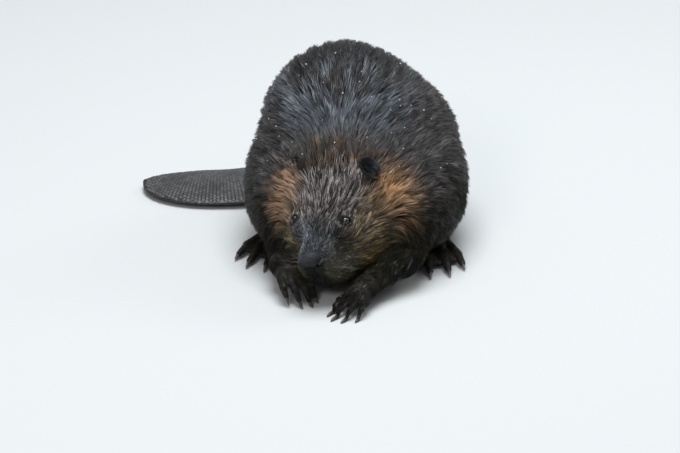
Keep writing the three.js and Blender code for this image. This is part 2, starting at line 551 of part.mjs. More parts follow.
// Forearms and paws, then hind feet: each keeps clear of the body it grows from.
const pawForm = (side) => {
  const arm = arms[side], paw = paws[side];
  return (p) => smooth(arm(p), paw(p), 8);
};
for (const side of ["left", "right"]) {
  const s = side === "left" ? 1 : -1;
  const fore = solid(around(pawForm(side), [0, 0, 0], s > 0 ? [10, -262, -12] : [-150, -250, -12], s > 0 ? [150, -60, 120] : [-8, -60, 120], 1.9, BUDGET.arm)).subtract(UNDER).subtract(bodyOver);
  const whole = biggest(fore);
  const place = PAWS[side], axes = axesOf(place.turn);
  const low = [-60, -110, -60], high = [60, 8, 60];
  put("forepaw_" + side, whole.intersect(boxIn(low, high, place.at, axes)), COAT.skin, 0.75);
  put("forearm_" + side, whole.subtract(boxIn(low, high, place.at, axes, GAP)), COAT.dark);
  const foot = solid(around(feet[side], FEET[side].at, [-70, -150, -12], [70, 90, 50], 2.2, BUDGET.foot)).subtract(UNDER).subtract(bodyOver).subtract(solid(swollen(meshOf(whole), GAP + 0.1)));
  put("hindfoot_" + side, foot, COAT.skin, 0.75);
}
function meshOf(s) {
  const m = s.getMesh(), n = m.numProp, position = new Float64Array((m.vertProperties.length / n) * 3);
  for (let i = 0; i < position.length / 3; i++) for (let j = 0; j < 3; j++) position[3 * i + j] = m.vertProperties[n * i + j];
  return { position, index: m.triVerts };
}

// ---- The scene graph ----
const beaver = new THREE.Group();
beaver.name = "beaver";
for (const [name, piece] of Object.entries(parts)) {
  const { position, index } = meshOf(piece);
  const geometry = new THREE.BufferGeometry();
  geometry.setAttribute("position", new THREE.BufferAttribute(Float32Array.from(position), 3));
  geometry.setIndex(new THREE.BufferAttribute(Uint32Array.from(index), 1));
  geometry.computeVertexNormals();
  const [colour, roughness] = COLOURS[name];
  const mesh = new THREE.Mesh(geometry, new THREE.MeshStandardMaterial({ color: new THREE.Color(...colour), roughness, metalness: 0, flatShading: true }));
  mesh.name = name;
  beaver.add(mesh);
}

export default beaver;
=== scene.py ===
import math
import time
import bpy
import bmesh
import numpy as np
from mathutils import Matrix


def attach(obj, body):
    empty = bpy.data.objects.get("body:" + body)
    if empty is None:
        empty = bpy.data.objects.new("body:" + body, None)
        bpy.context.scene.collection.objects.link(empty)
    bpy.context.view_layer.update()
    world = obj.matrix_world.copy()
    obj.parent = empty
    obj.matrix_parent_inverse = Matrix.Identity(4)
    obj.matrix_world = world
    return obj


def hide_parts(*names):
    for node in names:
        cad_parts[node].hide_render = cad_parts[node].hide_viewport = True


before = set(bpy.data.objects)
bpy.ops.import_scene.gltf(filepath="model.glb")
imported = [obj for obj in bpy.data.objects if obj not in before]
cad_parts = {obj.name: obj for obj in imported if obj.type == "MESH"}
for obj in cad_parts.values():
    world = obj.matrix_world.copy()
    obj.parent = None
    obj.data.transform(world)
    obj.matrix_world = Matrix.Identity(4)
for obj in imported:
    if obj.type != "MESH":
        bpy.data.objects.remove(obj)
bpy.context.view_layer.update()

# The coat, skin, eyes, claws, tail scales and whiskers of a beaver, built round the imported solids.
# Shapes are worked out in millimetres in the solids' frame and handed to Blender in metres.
import openvdb
from mathutils import Vector, kdtree
from mathutils.bvhtree import BVHTree

T0 = time.time()
F = np.float32


def say(*words):
    print("[beaver %.1fs]" % (time.time() - T0), *words, flush=True)


# ------------------------------------------------------------------ forms
# ball: centre, half axes, blend, [turn about Z, X, Y]. limb: [start, end], [radii], blend.
HEAD_AT = np.array([-29.5, -206.0, 74.5])
HEAD_TURN = (14.2, 24.4, 9.6)
TRUNK = [
    ["ball", [8, 98, 106], [134, 118, 108], 30],
    ["ball", [-10, 62, 150], [108, 114, 108], 34],
    ["ball", [9, 10, 84], [134, 122, 86], 40],
    ["ball", [4, -58, 88], [110, 70, 90], 40],
    ["ball", [6, 160, 82], [88, 66, 72], 40],
    ["ball", [105, 8, 74], [49, 94, 70], 30, [-8, 0, 0]],
    ["ball", [-86, 8, 72], [48, 94, 68], 30, [8, 0, 0]],
    ["limb", [[80, -62, 88], [89, -108, 44]], [46, 28], 26],
    ["limb", [[-62, -62, 86], [-69, -102, 44]], [44, 27], 26],
]
NECK = [["ball", [6, -90, 80], [92, 50, 60], 26]]
HEAD = [
    ["ball", [-102, 0, -8], [46, 46, 34], 14],
    ["limb", [[-74, 0, -12], [-20, 0, -14]], [28, 17.5], 18],
    ["ball", [-61, 30, -4], [21, 14.5, 15], 10],
    ["ball", [-61, -30, -4], [21, 14.5, 15], 10],
    ["ball", [-82, 34, -46], [44, 32, 40], 24],
    ["ball", [-82, -34, -46], [44, 32, 40], 24],
    ["ball", [-25, 14, -32], [22, 16, 19], 14],
    ["ball", [-25, -14, -32], [22, 16, 19], 14],
    ["ball", [-42, 18, -57], [30, 21, 24], 16],
    ["ball", [-42, -18, -57], [30, 21, 24], 16],
    ["limb", [[-27, 0, -59], [-80, 0, -64]], [17, 28], 12],
    ["ball", [-114, 26, -46], [40, 44, 46], 22],
    ["ball", [-114, -26, -46], [40, 44, 46], 22],
]
NOSE = [
    ["ball", [-6, 0, -8.5], [11, 14, 12.5], 5],
    ["ball", [-5.5, 8.5, -12.5], [8.5, 7.5, 8.5], 4],
    ["ball", [-5.5, -8.5, -12.5], [8.5, 7.5, 8.5], 4],
]
EYE_AT, EYE_R = np.array([-59.2, 34.7, 6.0]), 6.0
GAZE = np.array([0.45, 0.80, 0.38]) / np.linalg.norm([0.45, 0.80, 0.38])
EAR_AT, EAR_SIZE, EAR_UP, EAR_LEAN = np.array([-134.0, 55.0, 16.5]), (6, 12, 20), 10, (60, -20, 14)
EAR_CUP, EAR_HOLLOW = [5.6, 0, 12], (8.5, 9.6, 16.5)
ARMS = {
    1: [["limb", [[80, -122, 40], [42, -178, 24]], [25, 15], 14]],
    -1: [["limb", [[-66, -114, 40], [-66, -146, 33]], [24, 16], 14]],
}
PAWS = {1: ([40, -184, 22], (-38, 14, -6)), -1: ([-64, -150, 32], (44, 14, 6))}
PAW = [
    ["limb", [[0, 10, 2], [0, -8, 0]], [15, 14], 8],
    ["ball", [0, -14, -2], [19, 15, 11], 8],
]
FORE_DIGITS = [
    [[-17, -12, -3], [-24, -22, -6], [-25, -31, -13], 8],
    [[-11, -22, -1], [-14, -38, -3], [-14, -50, -12], 15],
    [[-1, -25, 0], [-1, -43, -2], [-1, -56, -12], 16],
    [[9, -23, -1], [12, -39, -3], [12, -51, -12], 15],
    [[16, -15, -3], [22, -28, -5], [23, -38, -12], 12],
]
FEET = {1: ([100, 30, 0], (8, 0, 0)), -1: ([-80, 30, 0], (-8, 0, 0))}
FOOT = [
    ["limb", [[0, 62, 16], [0, 4, 17]], [17, 21], 12],
    ["ball", [0, -20, 12], [30, 40, 15], 14],
    ["ball", [0, -62, 7], [44, 32, 7], 12],
]
HIND_DIGITS = [
    [[-24, -28, 9], [-38, -62, 9], [-44, -84, 6], 11],
    [[-13, -32, 12], [-21, -78, 10], [-24, -104, 6], 13],
    [[0, -34, 13], [0, -84, 11], [0, -113, 6], 15],
    [[13, -32, 12], [21, -80, 10], [24, -108, 6], 14],
    [[24, -28, 9], [38, -66, 9], [43, -90, 6], 12],
]
TAIL_PATH = [[6, 176, 62], [-4, 206, 34], [-42, 208, 20], [-96, 184, 12], [-160, 160, 9], [-226, 152, 8], [-292, 160, 7]]
TAIL_HALF_WIDTH, TAIL_HALF_THICK, TAIL_STEPS = 57, 8.5, 44


def axes_of(turn):
    z, x, y = [math.radians(a) for a in turn]
    rz = np.array([[math.cos(z), -math.sin(z), 0], [math.sin(z), math.cos(z), 0], [0, 0, 1]])
    rx = np.array([[1, 0, 0], [0, math.cos(x), -math.sin(x)], [0, math.sin(x), math.cos(x)]])
    ry = np.array([[math.cos(y), 0, math.sin(y)], [0, 1, 0], [-math.sin(y), 0, math.cos(y)]])
    return (rz @ rx @ ry).T


def _head_axes():
    yaw, pitch, roll = [math.radians(a) for a in HEAD_TURN]
    f = np.array([-math.sin(yaw) * math.cos(pitch), -math.cos(yaw) * math.cos(pitch), -math.sin(pitch)])
    l0 = np.array([math.cos(yaw), -math.sin(yaw), 0])
    l = l0 * math.cos(roll) + np.cross(f, l0) * math.sin(roll)
    return np.array([f, l, np.cross(f, l)])


HEAD_AXES = _head_axes()


def into(p, at, axes):
    return (p - np.asarray(at, F)) @ np.asarray(axes, F).T


def out_of(q, at, axes):
    return np.asarray(q) @ np.asarray(axes) + np.asarray(at)


def smooth(a, b, k):
    h = np.maximum(k - np.abs(a - b), 0) / k
    return np.minimum(a, b) - h * h * (k * 0.25)


def ball(p, c, r, axes=None):
    q = into(p, c, axes) if axes is not None else p - np.asarray(c, F)
    r = np.asarray(r, F)
    a = q / r
    k0 = np.sqrt(np.einsum("ij,ij->i", a, a))
    a /= r
    k1 = np.sqrt(np.einsum("ij,ij->i", a, a))
    return k0 * (k0 - 1) / np.maximum(k1, 1e-9)


def limb(p, a, b, ra, rb):
    a, b = np.asarray(a, F), np.asarray(b, F)
    d = b - a
    e = p - a
    t = np.clip(e @ d / (d @ d), 0, 1)
    e = e - t[:, None] * d
    return np.sqrt(np.einsum("ij,ij->i", e, e)) - (ra + (rb - ra) * t)


def blended(forms, p, d=None):
    for f in forms:
        kind, where, size, k = f[:4]
        v = ball(p, where, size, axes_of(f[4]) if len(f) > 4 else None) if kind == "ball" else limb(p, where[0], where[1], size[0], size[1])
        d = v if d is None else smooth(d, v, k)
    return d


def ramp(t, a, b):
    s = np.clip((t - a) / (b - a), 0, 1)
    return s * s * (3 - 2 * s)


def _tail_points():
    pts = np.array(TAIL_PATH, float)
    n, out = len(pts), []
    for i in range(TAIL_STEPS + 1):
        s = (n - 1) * i / TAIL_STEPS
        j = int(s)
        w = s - j
        if w == 0 and j == n - 1:
            j, w = n - 2, 1.0
        p0 = pts[j - 1] if j > 0 else 2 * pts[0] - pts[1]
        p1, p2 = pts[j], pts[j + 1]
        p3 = pts[j + 2] if j + 2 < n else 2 * pts[-1] - pts[-2]
        dt = [np.linalg.norm(a - b) ** 0.5 for a, b in ((p0, p1), (p1, p2), (p2, p3))]
        t1 = ((p1 - p0) / dt[0] - (p2 - p0) / (dt[0] + dt[1]) + (p2 - p1) / dt[1]) * dt[1]
        t2 = ((p2 - p1) / dt[1] - (p3 - p1) / (dt[1] + dt[2]) + (p3 - p2) / dt[2]) * dt[1]
        out.append(p1 + t1 * w + (-3 * p1 + 3 * p2 - 2 * t1 - t2) * w ** 2 + (2 * p1 - 2 * p2 + t1 + t2) * w ** 3)
    return np.array(out)


TAIL_POINTS = _tail_points()


def tail_wide(t):
    return (34 + (TAIL_HALF_WIDTH - 34) * ramp(t, 0.22, 0.62)) * np.sqrt(np.maximum(0.0016, 1 - np.power(np.maximum(0, t - 0.74) / 0.26, 2.2)))


def tail_thick(t):
    return 32 + (TAIL_HALF_THICK + 6 - 32) * ramp(t, 0.02, 0.36) - 6 * ramp(t, 0.3, 0.8) - 2 * ramp(t, 0.8, 1)


def tail_at(p):
    """Distance to the tail, and where along it the nearest point of its middle line is."""
    n = len(p)
    best = np.full(n, 1e12)
    at, up = np.zeros(n), np.zeros(n)
    for i in range(TAIL_STEPS):
        a, b = TAIL_POINTS[i], TAIL_POINTS[i + 1]
        dx, dy = b[0] - a[0], b[1] - a[1]
        s = np.clip(((p[:, 0] - a[0]) * dx + (p[:, 1] - a[1]) * dy) / (dx * dx + dy * dy), 0, 1)
        ex, ey = p[:, 0] - a[0] - s * dx, p[:, 1] - a[1] - s * dy
        d = ex * ex + ey * ey
        m = d < best
        best = np.where(m, d, best)
        at = np.where(m, (i + s) / TAIL_STEPS, at)
        up = np.where(m, p[:, 2] - (a[2] + s * (b[2] - a[2])), up)
    w, h = tail_wide(at), tail_thick(at)
    x, z = np.sqrt(best) / w, up / h
    k0 = np.hypot(x, z)
    return k0 * (k0 - 1) / np.maximum(np.hypot(x / w, z / h), 1e-9), at


def boxed(fn, p, lo, hi, far=None):
    """fn where p is in the box, and a safe large distance elsewhere."""
    lo, hi = np.asarray(lo, F), np.asarray(hi, F)
    off = np.maximum(np.maximum(lo - p, p - hi), 0)
    d = np.sqrt(np.einsum("ij,ij->i", off, off)) + 14
    m = (off.max(1) <= 0)
    if m.any():
        v = fn(p[m])
        d[m] = np.minimum(v, 60)
    return d


def ear_axes(side):
    return axes_of((side * EAR_LEAN[0], side * EAR_LEAN[2], EAR_LEAN[1]))


def ear_field(q, side):
    r = into(q, EAR_AT * [1, side, 1], ear_axes(side))
    return np.maximum(ball(r, [0, 0, EAR_UP], EAR_SIZE), -ball(r, EAR_CUP, EAR_HOLLOW))


def extremity(place, palm, digits, side, thick, claw=False):
    at, turn = place
    axes = axes_of(turn)

    def field(p):
        q = into(p, at, axes)
        d = blended(palm, q)
        for root, knuckle, tip, length in digits:
            root, knuckle, tip = [np.array([side * v[0], v[1], v[2]], float) for v in (root, knuckle, tip)]
            d = smooth(d, limb(q, root, knuckle, thick, thick * 0.86), 5)
            d = smooth(d, limb(q, knuckle, tip, thick * 0.86, thick * 0.66), 2)
        return d

    return field


class Parts:
    """Every form's distance at some points, in millimetres."""

    def __init__(s, p):
        p = np.asarray(p, F)
        s.p = p
        s.trunk = blended(TRUNK, p)
        far = np.full(len(p), 80.0)
        near = (p[:, 0] < 80) & (p[:, 1] > 60) & (p[:, 2] < 110)
        s.tail, s.tail_t = far.copy(), np.zeros(len(p))
        if near.any():
            s.tail[near], s.tail_t[near] = tail_at(p[near])
            s.tail = np.minimum(s.tail, 80)
        s.q = into(p, HEAD_AT, HEAD_AXES)
        s.neck = blended(NECK, p)
        s.head = boxed(lambda v: blended(NOSE, into(v, HEAD_AT, HEAD_AXES), blended(HEAD, into(v, HEAD_AT, HEAD_AXES))), p, [-150, -250, -60], [150, 20, 230])
        s.ears = boxed(lambda v: np.minimum(ear_field(into(v, HEAD_AT, HEAD_AXES), 1), ear_field(into(v, HEAD_AT, HEAD_AXES), -1)), p, [-110, -170, 100], [95, -50, 215])
        s.nose = boxed(lambda v: blended(NOSE, into(v, HEAD_AT, HEAD_AXES)), p, [-75, -235, 30], [20, -160, 110])
        s.arm, s.paw = {}, {}
        for k in (1, -1):
            lo, hi = ([-10, -260, -15], [135, -80, 90]) if k > 0 else ([-120, -235, -15], [10, -75, 95])
            s.arm[k] = boxed(lambda v, k=k: blended(ARMS[k], v), p, lo, hi)
            s.paw[k] = boxed(extremity(PAWS[k], PAW, FORE_DIGITS, k, 5.6), p, lo, hi)
        s.foot = np.minimum(
            boxed(extremity(FEET[1], FOOT, HIND_DIGITS, 1, 7), p, [30, -115, -15], [185, 125, 60]),
            boxed(extremity(FEET[-1], FOOT, HIND_DIGITS, -1, 7), p, [-165, -115, -15], [-15, 125, 60]))

    def outer(s):
        """The coat's own surface."""
        d = smooth(s.trunk, s.tail, 26)
        d = smooth(d, smooth(s.neck, s.head, 20), 26)
        s.body = smooth(d, s.ears, 5)
        d = s.body
        for k in (1, -1):
            elbow = np.asarray(ARMS[k][0][1][0], F)
            e = s.p - elbow
            near = np.exp(-np.einsum("ij,ij->i", e, e) / 46.0 ** 2)
            d = smooth(d, smooth(s.arm[k], s.paw[k], 8), 1.5 + 16 * near)
        return smooth(d, s.foot, 3)

    def depth(s):
        """How deep the coat is, from its surface in to the skin."""
        p, q = s.p, s.q
        A, S, H = q[:, 0], np.abs(q[:, 1]), q[:, 2]
        d = np.full(len(p), 11.5)
        d = d - 4.0 * ramp(-p[:, 2], -45, -5)
        others = np.minimum(s.trunk, s.tail)
        # head: longer hair behind, close and short towards the nose
        face = np.interp(A, [-160, -130, -105, -80, -60, -40, -20, -6], [11, 9.5, 6.5, 4.4, 3.0, 2.0, 1.1, 0.35])
        face = face + 3.2 * ramp(S, 26, 52) * ramp(-A, 52, 84) * ramp(-H, -12, 14)
        wh = ramp(np.minimum(others, s.neck) - s.head, -16, 8)
        d = d + (face - d) * wh
        d = d + (0.15 - d) * ramp(-s.nose, -2.2, -0.2)
        e = into(p, out_of(EYE_AT, HEAD_AT, HEAD_AXES), HEAD_AXES)
        e2 = into(p, out_of(EYE_AT * [1, -1, 1], HEAD_AT, HEAD_AXES), HEAD_AXES)
        r = np.sqrt(np.minimum((e * e).sum(1), (e2 * e2).sum(1)))
        d = d + (np.minimum(d, 0.6) - d) * ramp(-r, -12, -6.5)
        thin = np.full(len(p), 0.5)
        for k in (1, -1):
            v = q - (EAR_AT * [1, k, 1]).astype(F)
            m = np.nonzero(np.einsum("ij,ij->i", v, v) < 34.0 ** 2)[0]
            if len(m):
                thin[m] = 0.5 + 2.0 * ramp(-into(q[m], EAR_AT * [1, k, 1], ear_axes(k))[:, 2], -2.5, 3.5)
        d = d + (np.minimum(d, thin) - d) * ramp(-s.ears, -8, -0.5)
        wt = ramp(np.minimum(s.trunk, s.foot) - s.tail, -14, 4)
        d = d + (np.interp(s.tail_t, [0, 0.14, 0.25, 0.33], [9, 7.5, 2.6, 0.5]) - d) * wt
        for k in (1, -1):
            a, w = s.arm[k], s.paw[k]
            limbs = smooth(a, w, 8)
            wa = ramp(s.body - limbs, -9, 3)
            d = d + (5.0 - d) * wa
            d = d + (0.6 - d) * ramp(s.body - limbs, -4, 2) * ramp(a - w, -6, 5)
        d = d + (0.6 - d) * ramp(s.body - s.foot, -5, 3)
        return d


def face_detail(f, p):
    """Nostrils, lip line, eye sockets and lids, cut into the skin."""
    q = into(p, HEAD_AT, HEAD_AXES)
    near = (q[:, 0] > -90) & (np.abs(q[:, 1]) < 55) & (q[:, 2] > -90) & (q[:, 2] < 40) & (np.abs(f) < 12)
    if not near.any():
        return f
    v, g = q[near], f[near].astype(float)
    for k in (1, -1):
        # nostril: a comma that runs back from the front of the pad
        g = np.maximum(g, -ball(v, [-0.5, k * 11.5, -15.5], [7.5, 2.7, 3.6], axes_of((k * 40, 0, 0))))
        g = smooth(g, limb(v, [-7, k * 16.8, -11.5], [0.5, k * 13.4, -11.0], 1.8, 1.5), 2.5)
        # lids
        c = EYE_AT * [1, k, 1]
        e = v - c.astype(F)
        r = np.sqrt((e * e).sum(1))
        g = smooth(g, r - (EYE_R + 1.0), 3.0)
        along = GAZE * [1, k, 1]
        side = np.cross([0, 0, 1], along)
        side /= np.linalg.norm(side)
        up = np.cross(along, side)
        x, y, z = e @ side, e @ up, e @ along
        slit = np.sqrt((x / 5.6) ** 2 + (y / 4.7) ** 2) - 1
        g = np.maximum(g, -np.maximum(slit * 4.7, -z))
        g = np.maximum(g, -(r - (EYE_R + 0.12)))
    # the cleft under the nose and the lips
    g = np.maximum(g, -limb(v, [-1, 0, -22], [-13, 0, -46], 1.1, 1.3))
    for k in (1, -1):
        g = np.maximum(g, -limb(v, [-12, 0, -46], [-33, k * 24, -53], 1.5, 1.6))
        g = np.maximum(g, -limb(v, [-33, k * 24, -53], [-61, k * 40, -49], 1.6, 0.8))
    f = f.copy()
    f[near] = g
    return f


def ear_detail(f, p):
    """Folds in the cup of each ear, a deep canal low in it, and an uneven rim."""
    q = into(p, HEAD_AT, HEAD_AXES)
    for k in (1, -1):
        e = q - (EAR_AT * [1, k, 1] + [0, 0, 10]).astype(F)
        near = (np.einsum("ij,ij->i", e, e) < 30.0 ** 2) & (np.abs(f) < 12)
        if not near.any():
            continue
        r, g = into(q[near], EAR_AT * [1, k, 1], ear_axes(k)), f[near].astype(float)
        s = -k
        g = smooth(g, limb(r, [-1.2, s * 4.8, 3], [-0.8, s * 2.2, 17], 2.1, 1.4), 1.6)
        g = smooth(g, limb(r, [-0.8, -s * 4.4, 4], [0.2, -s * 4.8, 12], 1.9, 1.2), 1.6)
        g = smooth(g, limb(r, [2.0, s * 7.0, 0], [2.5, s * 8.2, 8], 2.2, 1.4), 2.0)
        g = np.maximum(g, -ball(r, [1.0, 0.0, 4.0], [3.6, 3.4, 5.4]))
        g = g + 0.30 * np.sin(r[:, 1] * 0.9 + r[:, 2] * 0.55) * ramp(r[:, 2], 6, 16)
        f = f.copy()
        f[near] = g
    return f


def skin_field(p):
    P = Parts(p)
    f = P.outer()
    f = f + P.depth()
    f = ear_detail(f, P.p)
    f = face_detail(f, P.p)
    return np.maximum(f, 0.35 - P.p[:, 2])


def outer_field(p):
    return Parts(p).outer()


def chunked(fn, p, n=200000):
    return np.concatenate([fn(p[i:i + n]) for i in range(0, len(p), n)]) if len(p) > n else fn(p)


def gradient(fn, p, h=0.5):
    g = np.stack([chunked(fn, p + np.eye(3, dtype=F)[i] * h) - chunked(fn, p - np.eye(3, dtype=F)[i] * h) for i in range(3)], 1)
    return g / np.maximum(np.linalg.norm(g, axis=1, keepdims=True), 1e-9)


# ------------------------------------------------------------------ skin
def surfaced(field, lo, hi, h, block=6, slack=7.0, adaptivity=0.0):
    """The zero surface of a field, as points and faces."""
    lo = np.asarray(lo, float)
    nb = np.ceil((np.asarray(hi) - lo) / (h * block)).astype(int)
    size = nb * block
    bx, by, bz = np.meshgrid(*[np.arange(n) for n in nb], indexing="ij")
    blocks = np.stack([bx, by, bz], -1).reshape(-1, 3)
    centres = lo + (blocks * block + (block - 1) / 2) * h
    v = chunked(field, centres.astype(F))
    vol = np.repeat(np.repeat(np.repeat(v.reshape(nb), block, 0), block, 1), block, 2).astype(F)
    near = np.abs(v) < block * h * 0.87 * 1.3 + slack
    inner = np.stack(np.meshgrid(*[np.arange(block)] * 3, indexing="ij"), -1).reshape(-1, 3)
    nbk = blocks[near]
    idx = (nbk[:, None, :] * block + inner[None]).reshape(-1, 3)
    val = chunked(field, (lo + idx * h).astype(F))
    vol[idx[:, 0], idx[:, 1], idx[:, 2]] = val
    grid = openvdb.FloatGrid(float(np.max(vol)) + 1.0)
    grid.copyFromArray(vol)
    pts, tris, quads = grid.convertToPolygons(isovalue=0.0, adaptivity=adaptivity)
    return np.asarray(pts, float) * h + lo, (tris, quads)


def settled(field, p, rounds=3, most=1.2):
    """Points moved along the slope onto the zero surface, where that brings them nearer to it."""
    f = chunked(field, p.astype(F))
    for _ in range(rounds):
        g = gradient(field, p.astype(F))
        moved = p - g * np.clip(f, -most, most)[:, None]
        after = chunked(field, moved.astype(F))
        better = np.abs(after) < np.abs(f)
        p = np.where(better[:, None], moved, p)
        f = np.where(better, after, f)
    return p


def split_long(p, t, limit):
    """Triangles with every edge longer than its limit cut in two."""
    e = np.sort(np.stack([t[:, [0, 1]], t[:, [1, 2]], t[:, [2, 0]]], 1), -1)
    key = e[..., 0].astype(np.int64) * len(p) + e[..., 1]
    u, inv = np.unique(key.ravel(), return_inverse=True)
    a, b = u // len(p), u % len(p)
    mid = (p[a] + p[b]) / 2
    cut = np.linalg.norm(p[a] - p[b], axis=1) > limit(mid)
    new = np.full(len(u), -1)
    new[cut] = len(p) + np.arange(cut.sum())
    m = new[inv].reshape(-1, 3)
    count = (m >= 0).sum(1)
    out = [t[count == 0]]
    T, M = t[count == 3], m[count == 3]
    out += [np.stack(v, 1) for v in ((T[:, 0], M[:, 0], M[:, 2]), (M[:, 0], T[:, 1], M[:, 1]), (M[:, 2], M[:, 1], T[:, 2]), (M[:, 0], M[:, 1], M[:, 2]))]
    for r in range(3):
        roll = [r, (r + 1) % 3, (r + 2) % 3]
        s = (count == 1) & (m[:, r] >= 0)
        T, M = t[s][:, roll], m[s][:, roll]
        out += [np.stack((T[:, 0], M[:, 0], T[:, 2]), 1), np.stack((M[:, 0], T[:, 1], T[:, 2]), 1)]
        s = (count == 2) & (m[:, (r + 2) % 3] < 0)
        T, M = t[s][:, roll], m[s][:, roll]
        out += [np.stack((M[:, 0], T[:, 1], M[:, 1]), 1), np.stack((T[:, 0], M[:, 0], M[:, 1]), 1), np.stack((T[:, 0], M[:, 1], T[:, 2]), 1)]
    return np.concatenate([p, mid[cut]]), np.concatenate(out), int(cut.sum())


def fineness(p):
    """The longest edge the skin may have at a point, in millimetres."""
    p = np.asarray(p, F)
    q = into(p, HEAD_AT, HEAD_AXES)
    out = np.full(len(p), 9.0)
    head = np.linalg.norm((q - np.array([-60, 0, -15], F)) / np.array([80, 75, 70], F), axis=1) < 1
    out[head] = 4.5
    out[head & (q[:, 0] > -75)] = 2.6
    out[(q[:, 0] > -24) & (np.abs(q[:, 1]) < 26) & (q[:, 2] > -30) & (q[:, 2] < 12)] = 1.0
    for k in (1, -1):
        out[np.linalg.norm(q - (EYE_AT * [1, k, 1]).astype(F), axis=1) < 12] = 1.0
        out[np.linalg.norm(q - ((EAR_AT + [0, 0, 12]) * [1, k, 1]).astype(F), axis=1) < 30] = 2.2
        at = np.asarray(PAWS[k][0], F) + np.array([0, -26, -4], F)
        out[np.linalg.norm(p - at, axis=1) < 42] = 2.2
    out[(p[:, 2] < 40) & (p[:, 1] < 0) & (np.abs(p[:, 0]) > 55) & (p[:, 1] > -110)] = 3.6
    out[(p[:, 0] < -96) & (p[:, 2] < 30) & (p[:, 1] > 60)] = 4.5
    return out


def skin_mesh():
    pts, faces = surfaced(skin_field, [-320, -250, -6], [180, 260, 276], 2.0, adaptivity=0.012)
    tri = []
    for arr in faces:
        arr = np.asarray(arr).astype(np.int64)
        if len(arr):
            tri.append(arr[:, [0, 1, 2]])
            if arr.shape[1] == 4:
                tri.append(arr[:, [0, 2, 3]])
    t = np.concatenate(tri)
    a, b, c = pts[t[:, 0]], pts[t[:, 1]], pts[t[:, 2]]
    if np.einsum("ij,ij->i", np.cross(a, b), c).sum() < 0:
        t = t[:, ::-1]
    p = settled(skin_field, pts, 3)
    for _ in range(5):
        n = len(p)
        p, t, cuts = split_long(p, t, fineness)
        if not cuts:
            break
        p[n:] = settled(skin_field, p[n:], 2)
    say("skin", len(p), "points", len(t), "triangles")
    return p, t


def solid(name, verts, tris, smooth=True):
    """A mesh object from points in millimetres and triangles."""
    me = bpy.data.meshes.new(name)
    me.vertices.add(len(verts))
    me.vertices.foreach_set("co", (np.asarray(verts, F) * F(0.001)).ravel())
    me.loops.add(len(tris) * 3)
    me.loops.foreach_set("vertex_index", np.asarray(tris, np.int32).ravel())
    me.polygons.add(len(tris))
    me.polygons.foreach_set("loop_start", np.arange(0, len(tris) * 3, 3, dtype=np.int32))
    me.update(calc_edges=True)
    me.polygons.foreach_set("use_smooth", np.full(len(tris), smooth))
    o = bpy.data.objects.new(name, me)
    bpy.context.scene.collection.objects.link(o)
    return o


def tinted(o, rgb, name="tint"):
    """A colour for each point, in linear light."""
    a = o.data.color_attributes.new(name, "FLOAT_COLOR", "POINT")
    a.data.foreach_set("color", np.concatenate([rgb, np.ones((len(rgb), 1))], 1).astype(F).ravel())
    return o


def mapped(o, uv, name="OFBake"):
    """One pair for each triangle corner."""
    layer = o.data.uv_layers.new(name=name)
    layer.data.foreach_set("uv", np.asarray(uv, F).ravel())
    return o


# ------------------------------------------------------------------ the coat's lie, length and colour
def wave(p, size, seed):
    """Smooth noise, about -1 to 1."""
    rng = np.random.default_rng(seed)
    v = np.zeros(len(p))
    for _ in range(7):
        k = rng.normal(size=3)
        k *= rng.uniform(0.7, 1.5) * 2 * math.pi / (size * np.linalg.norm(k))
        v += np.sin(p @ k + rng.uniform(0, 6.28))
    return v / 2.6


def rgb(r, g, b):
    v = np.array([r, g, b]) / 255.0
    return np.where(v <= 0.04045, v / 12.92, ((v + 0.055) / 1.055) ** 2.4)


def mixed(a, b, w):
    return a + (b - a) * w[:, None]


def patch(q, c, r):
    e = (q - np.asarray(c, F)) / np.asarray(r, F)
    return np.exp(-np.einsum("ij,ij->i", e, e) * 1.1)


def weights(P):
    """How much each point belongs to each part."""
    d = np.stack([P.trunk, P.neck, P.head, P.ears, P.arm[1], P.arm[-1], P.paw[1], P.paw[-1], P.foot, P.tail], 1)
    d[:, 3:9] -= 1.5
    d[:, 9] -= 12 * ramp(P.tail_t, 0.06, 0.2)
    w = np.exp(-(d - d.min(1, keepdims=True)) / 5.0)
    w = w / w.sum(1, keepdims=True)
    for k in (1, -1):
        e = P.q - (EAR_AT * [1, k, 1] + [0, 0, 10]).astype(F)
        near = np.nonzero(np.einsum("ij,ij->i", e, e) < 40.0 ** 2)[0]
        if len(near):
            foot = ramp(-into(P.q[near], EAR_AT * [1, k, 1], ear_axes(k))[:, 2], -6, 1) * w[near, EARS_]
            w[near, HEAD_] += foot
            w[near, EARS_] -= foot
    return w


TRUNK_, NECK_, HEAD_, EARS_, ARM_L, ARM_R, PAW_L, PAW_R, FOOT_, TAIL_ = range(10)


def unit(v):
    return v / np.maximum(np.linalg.norm(v, axis=1, keepdims=True), 1e-9)


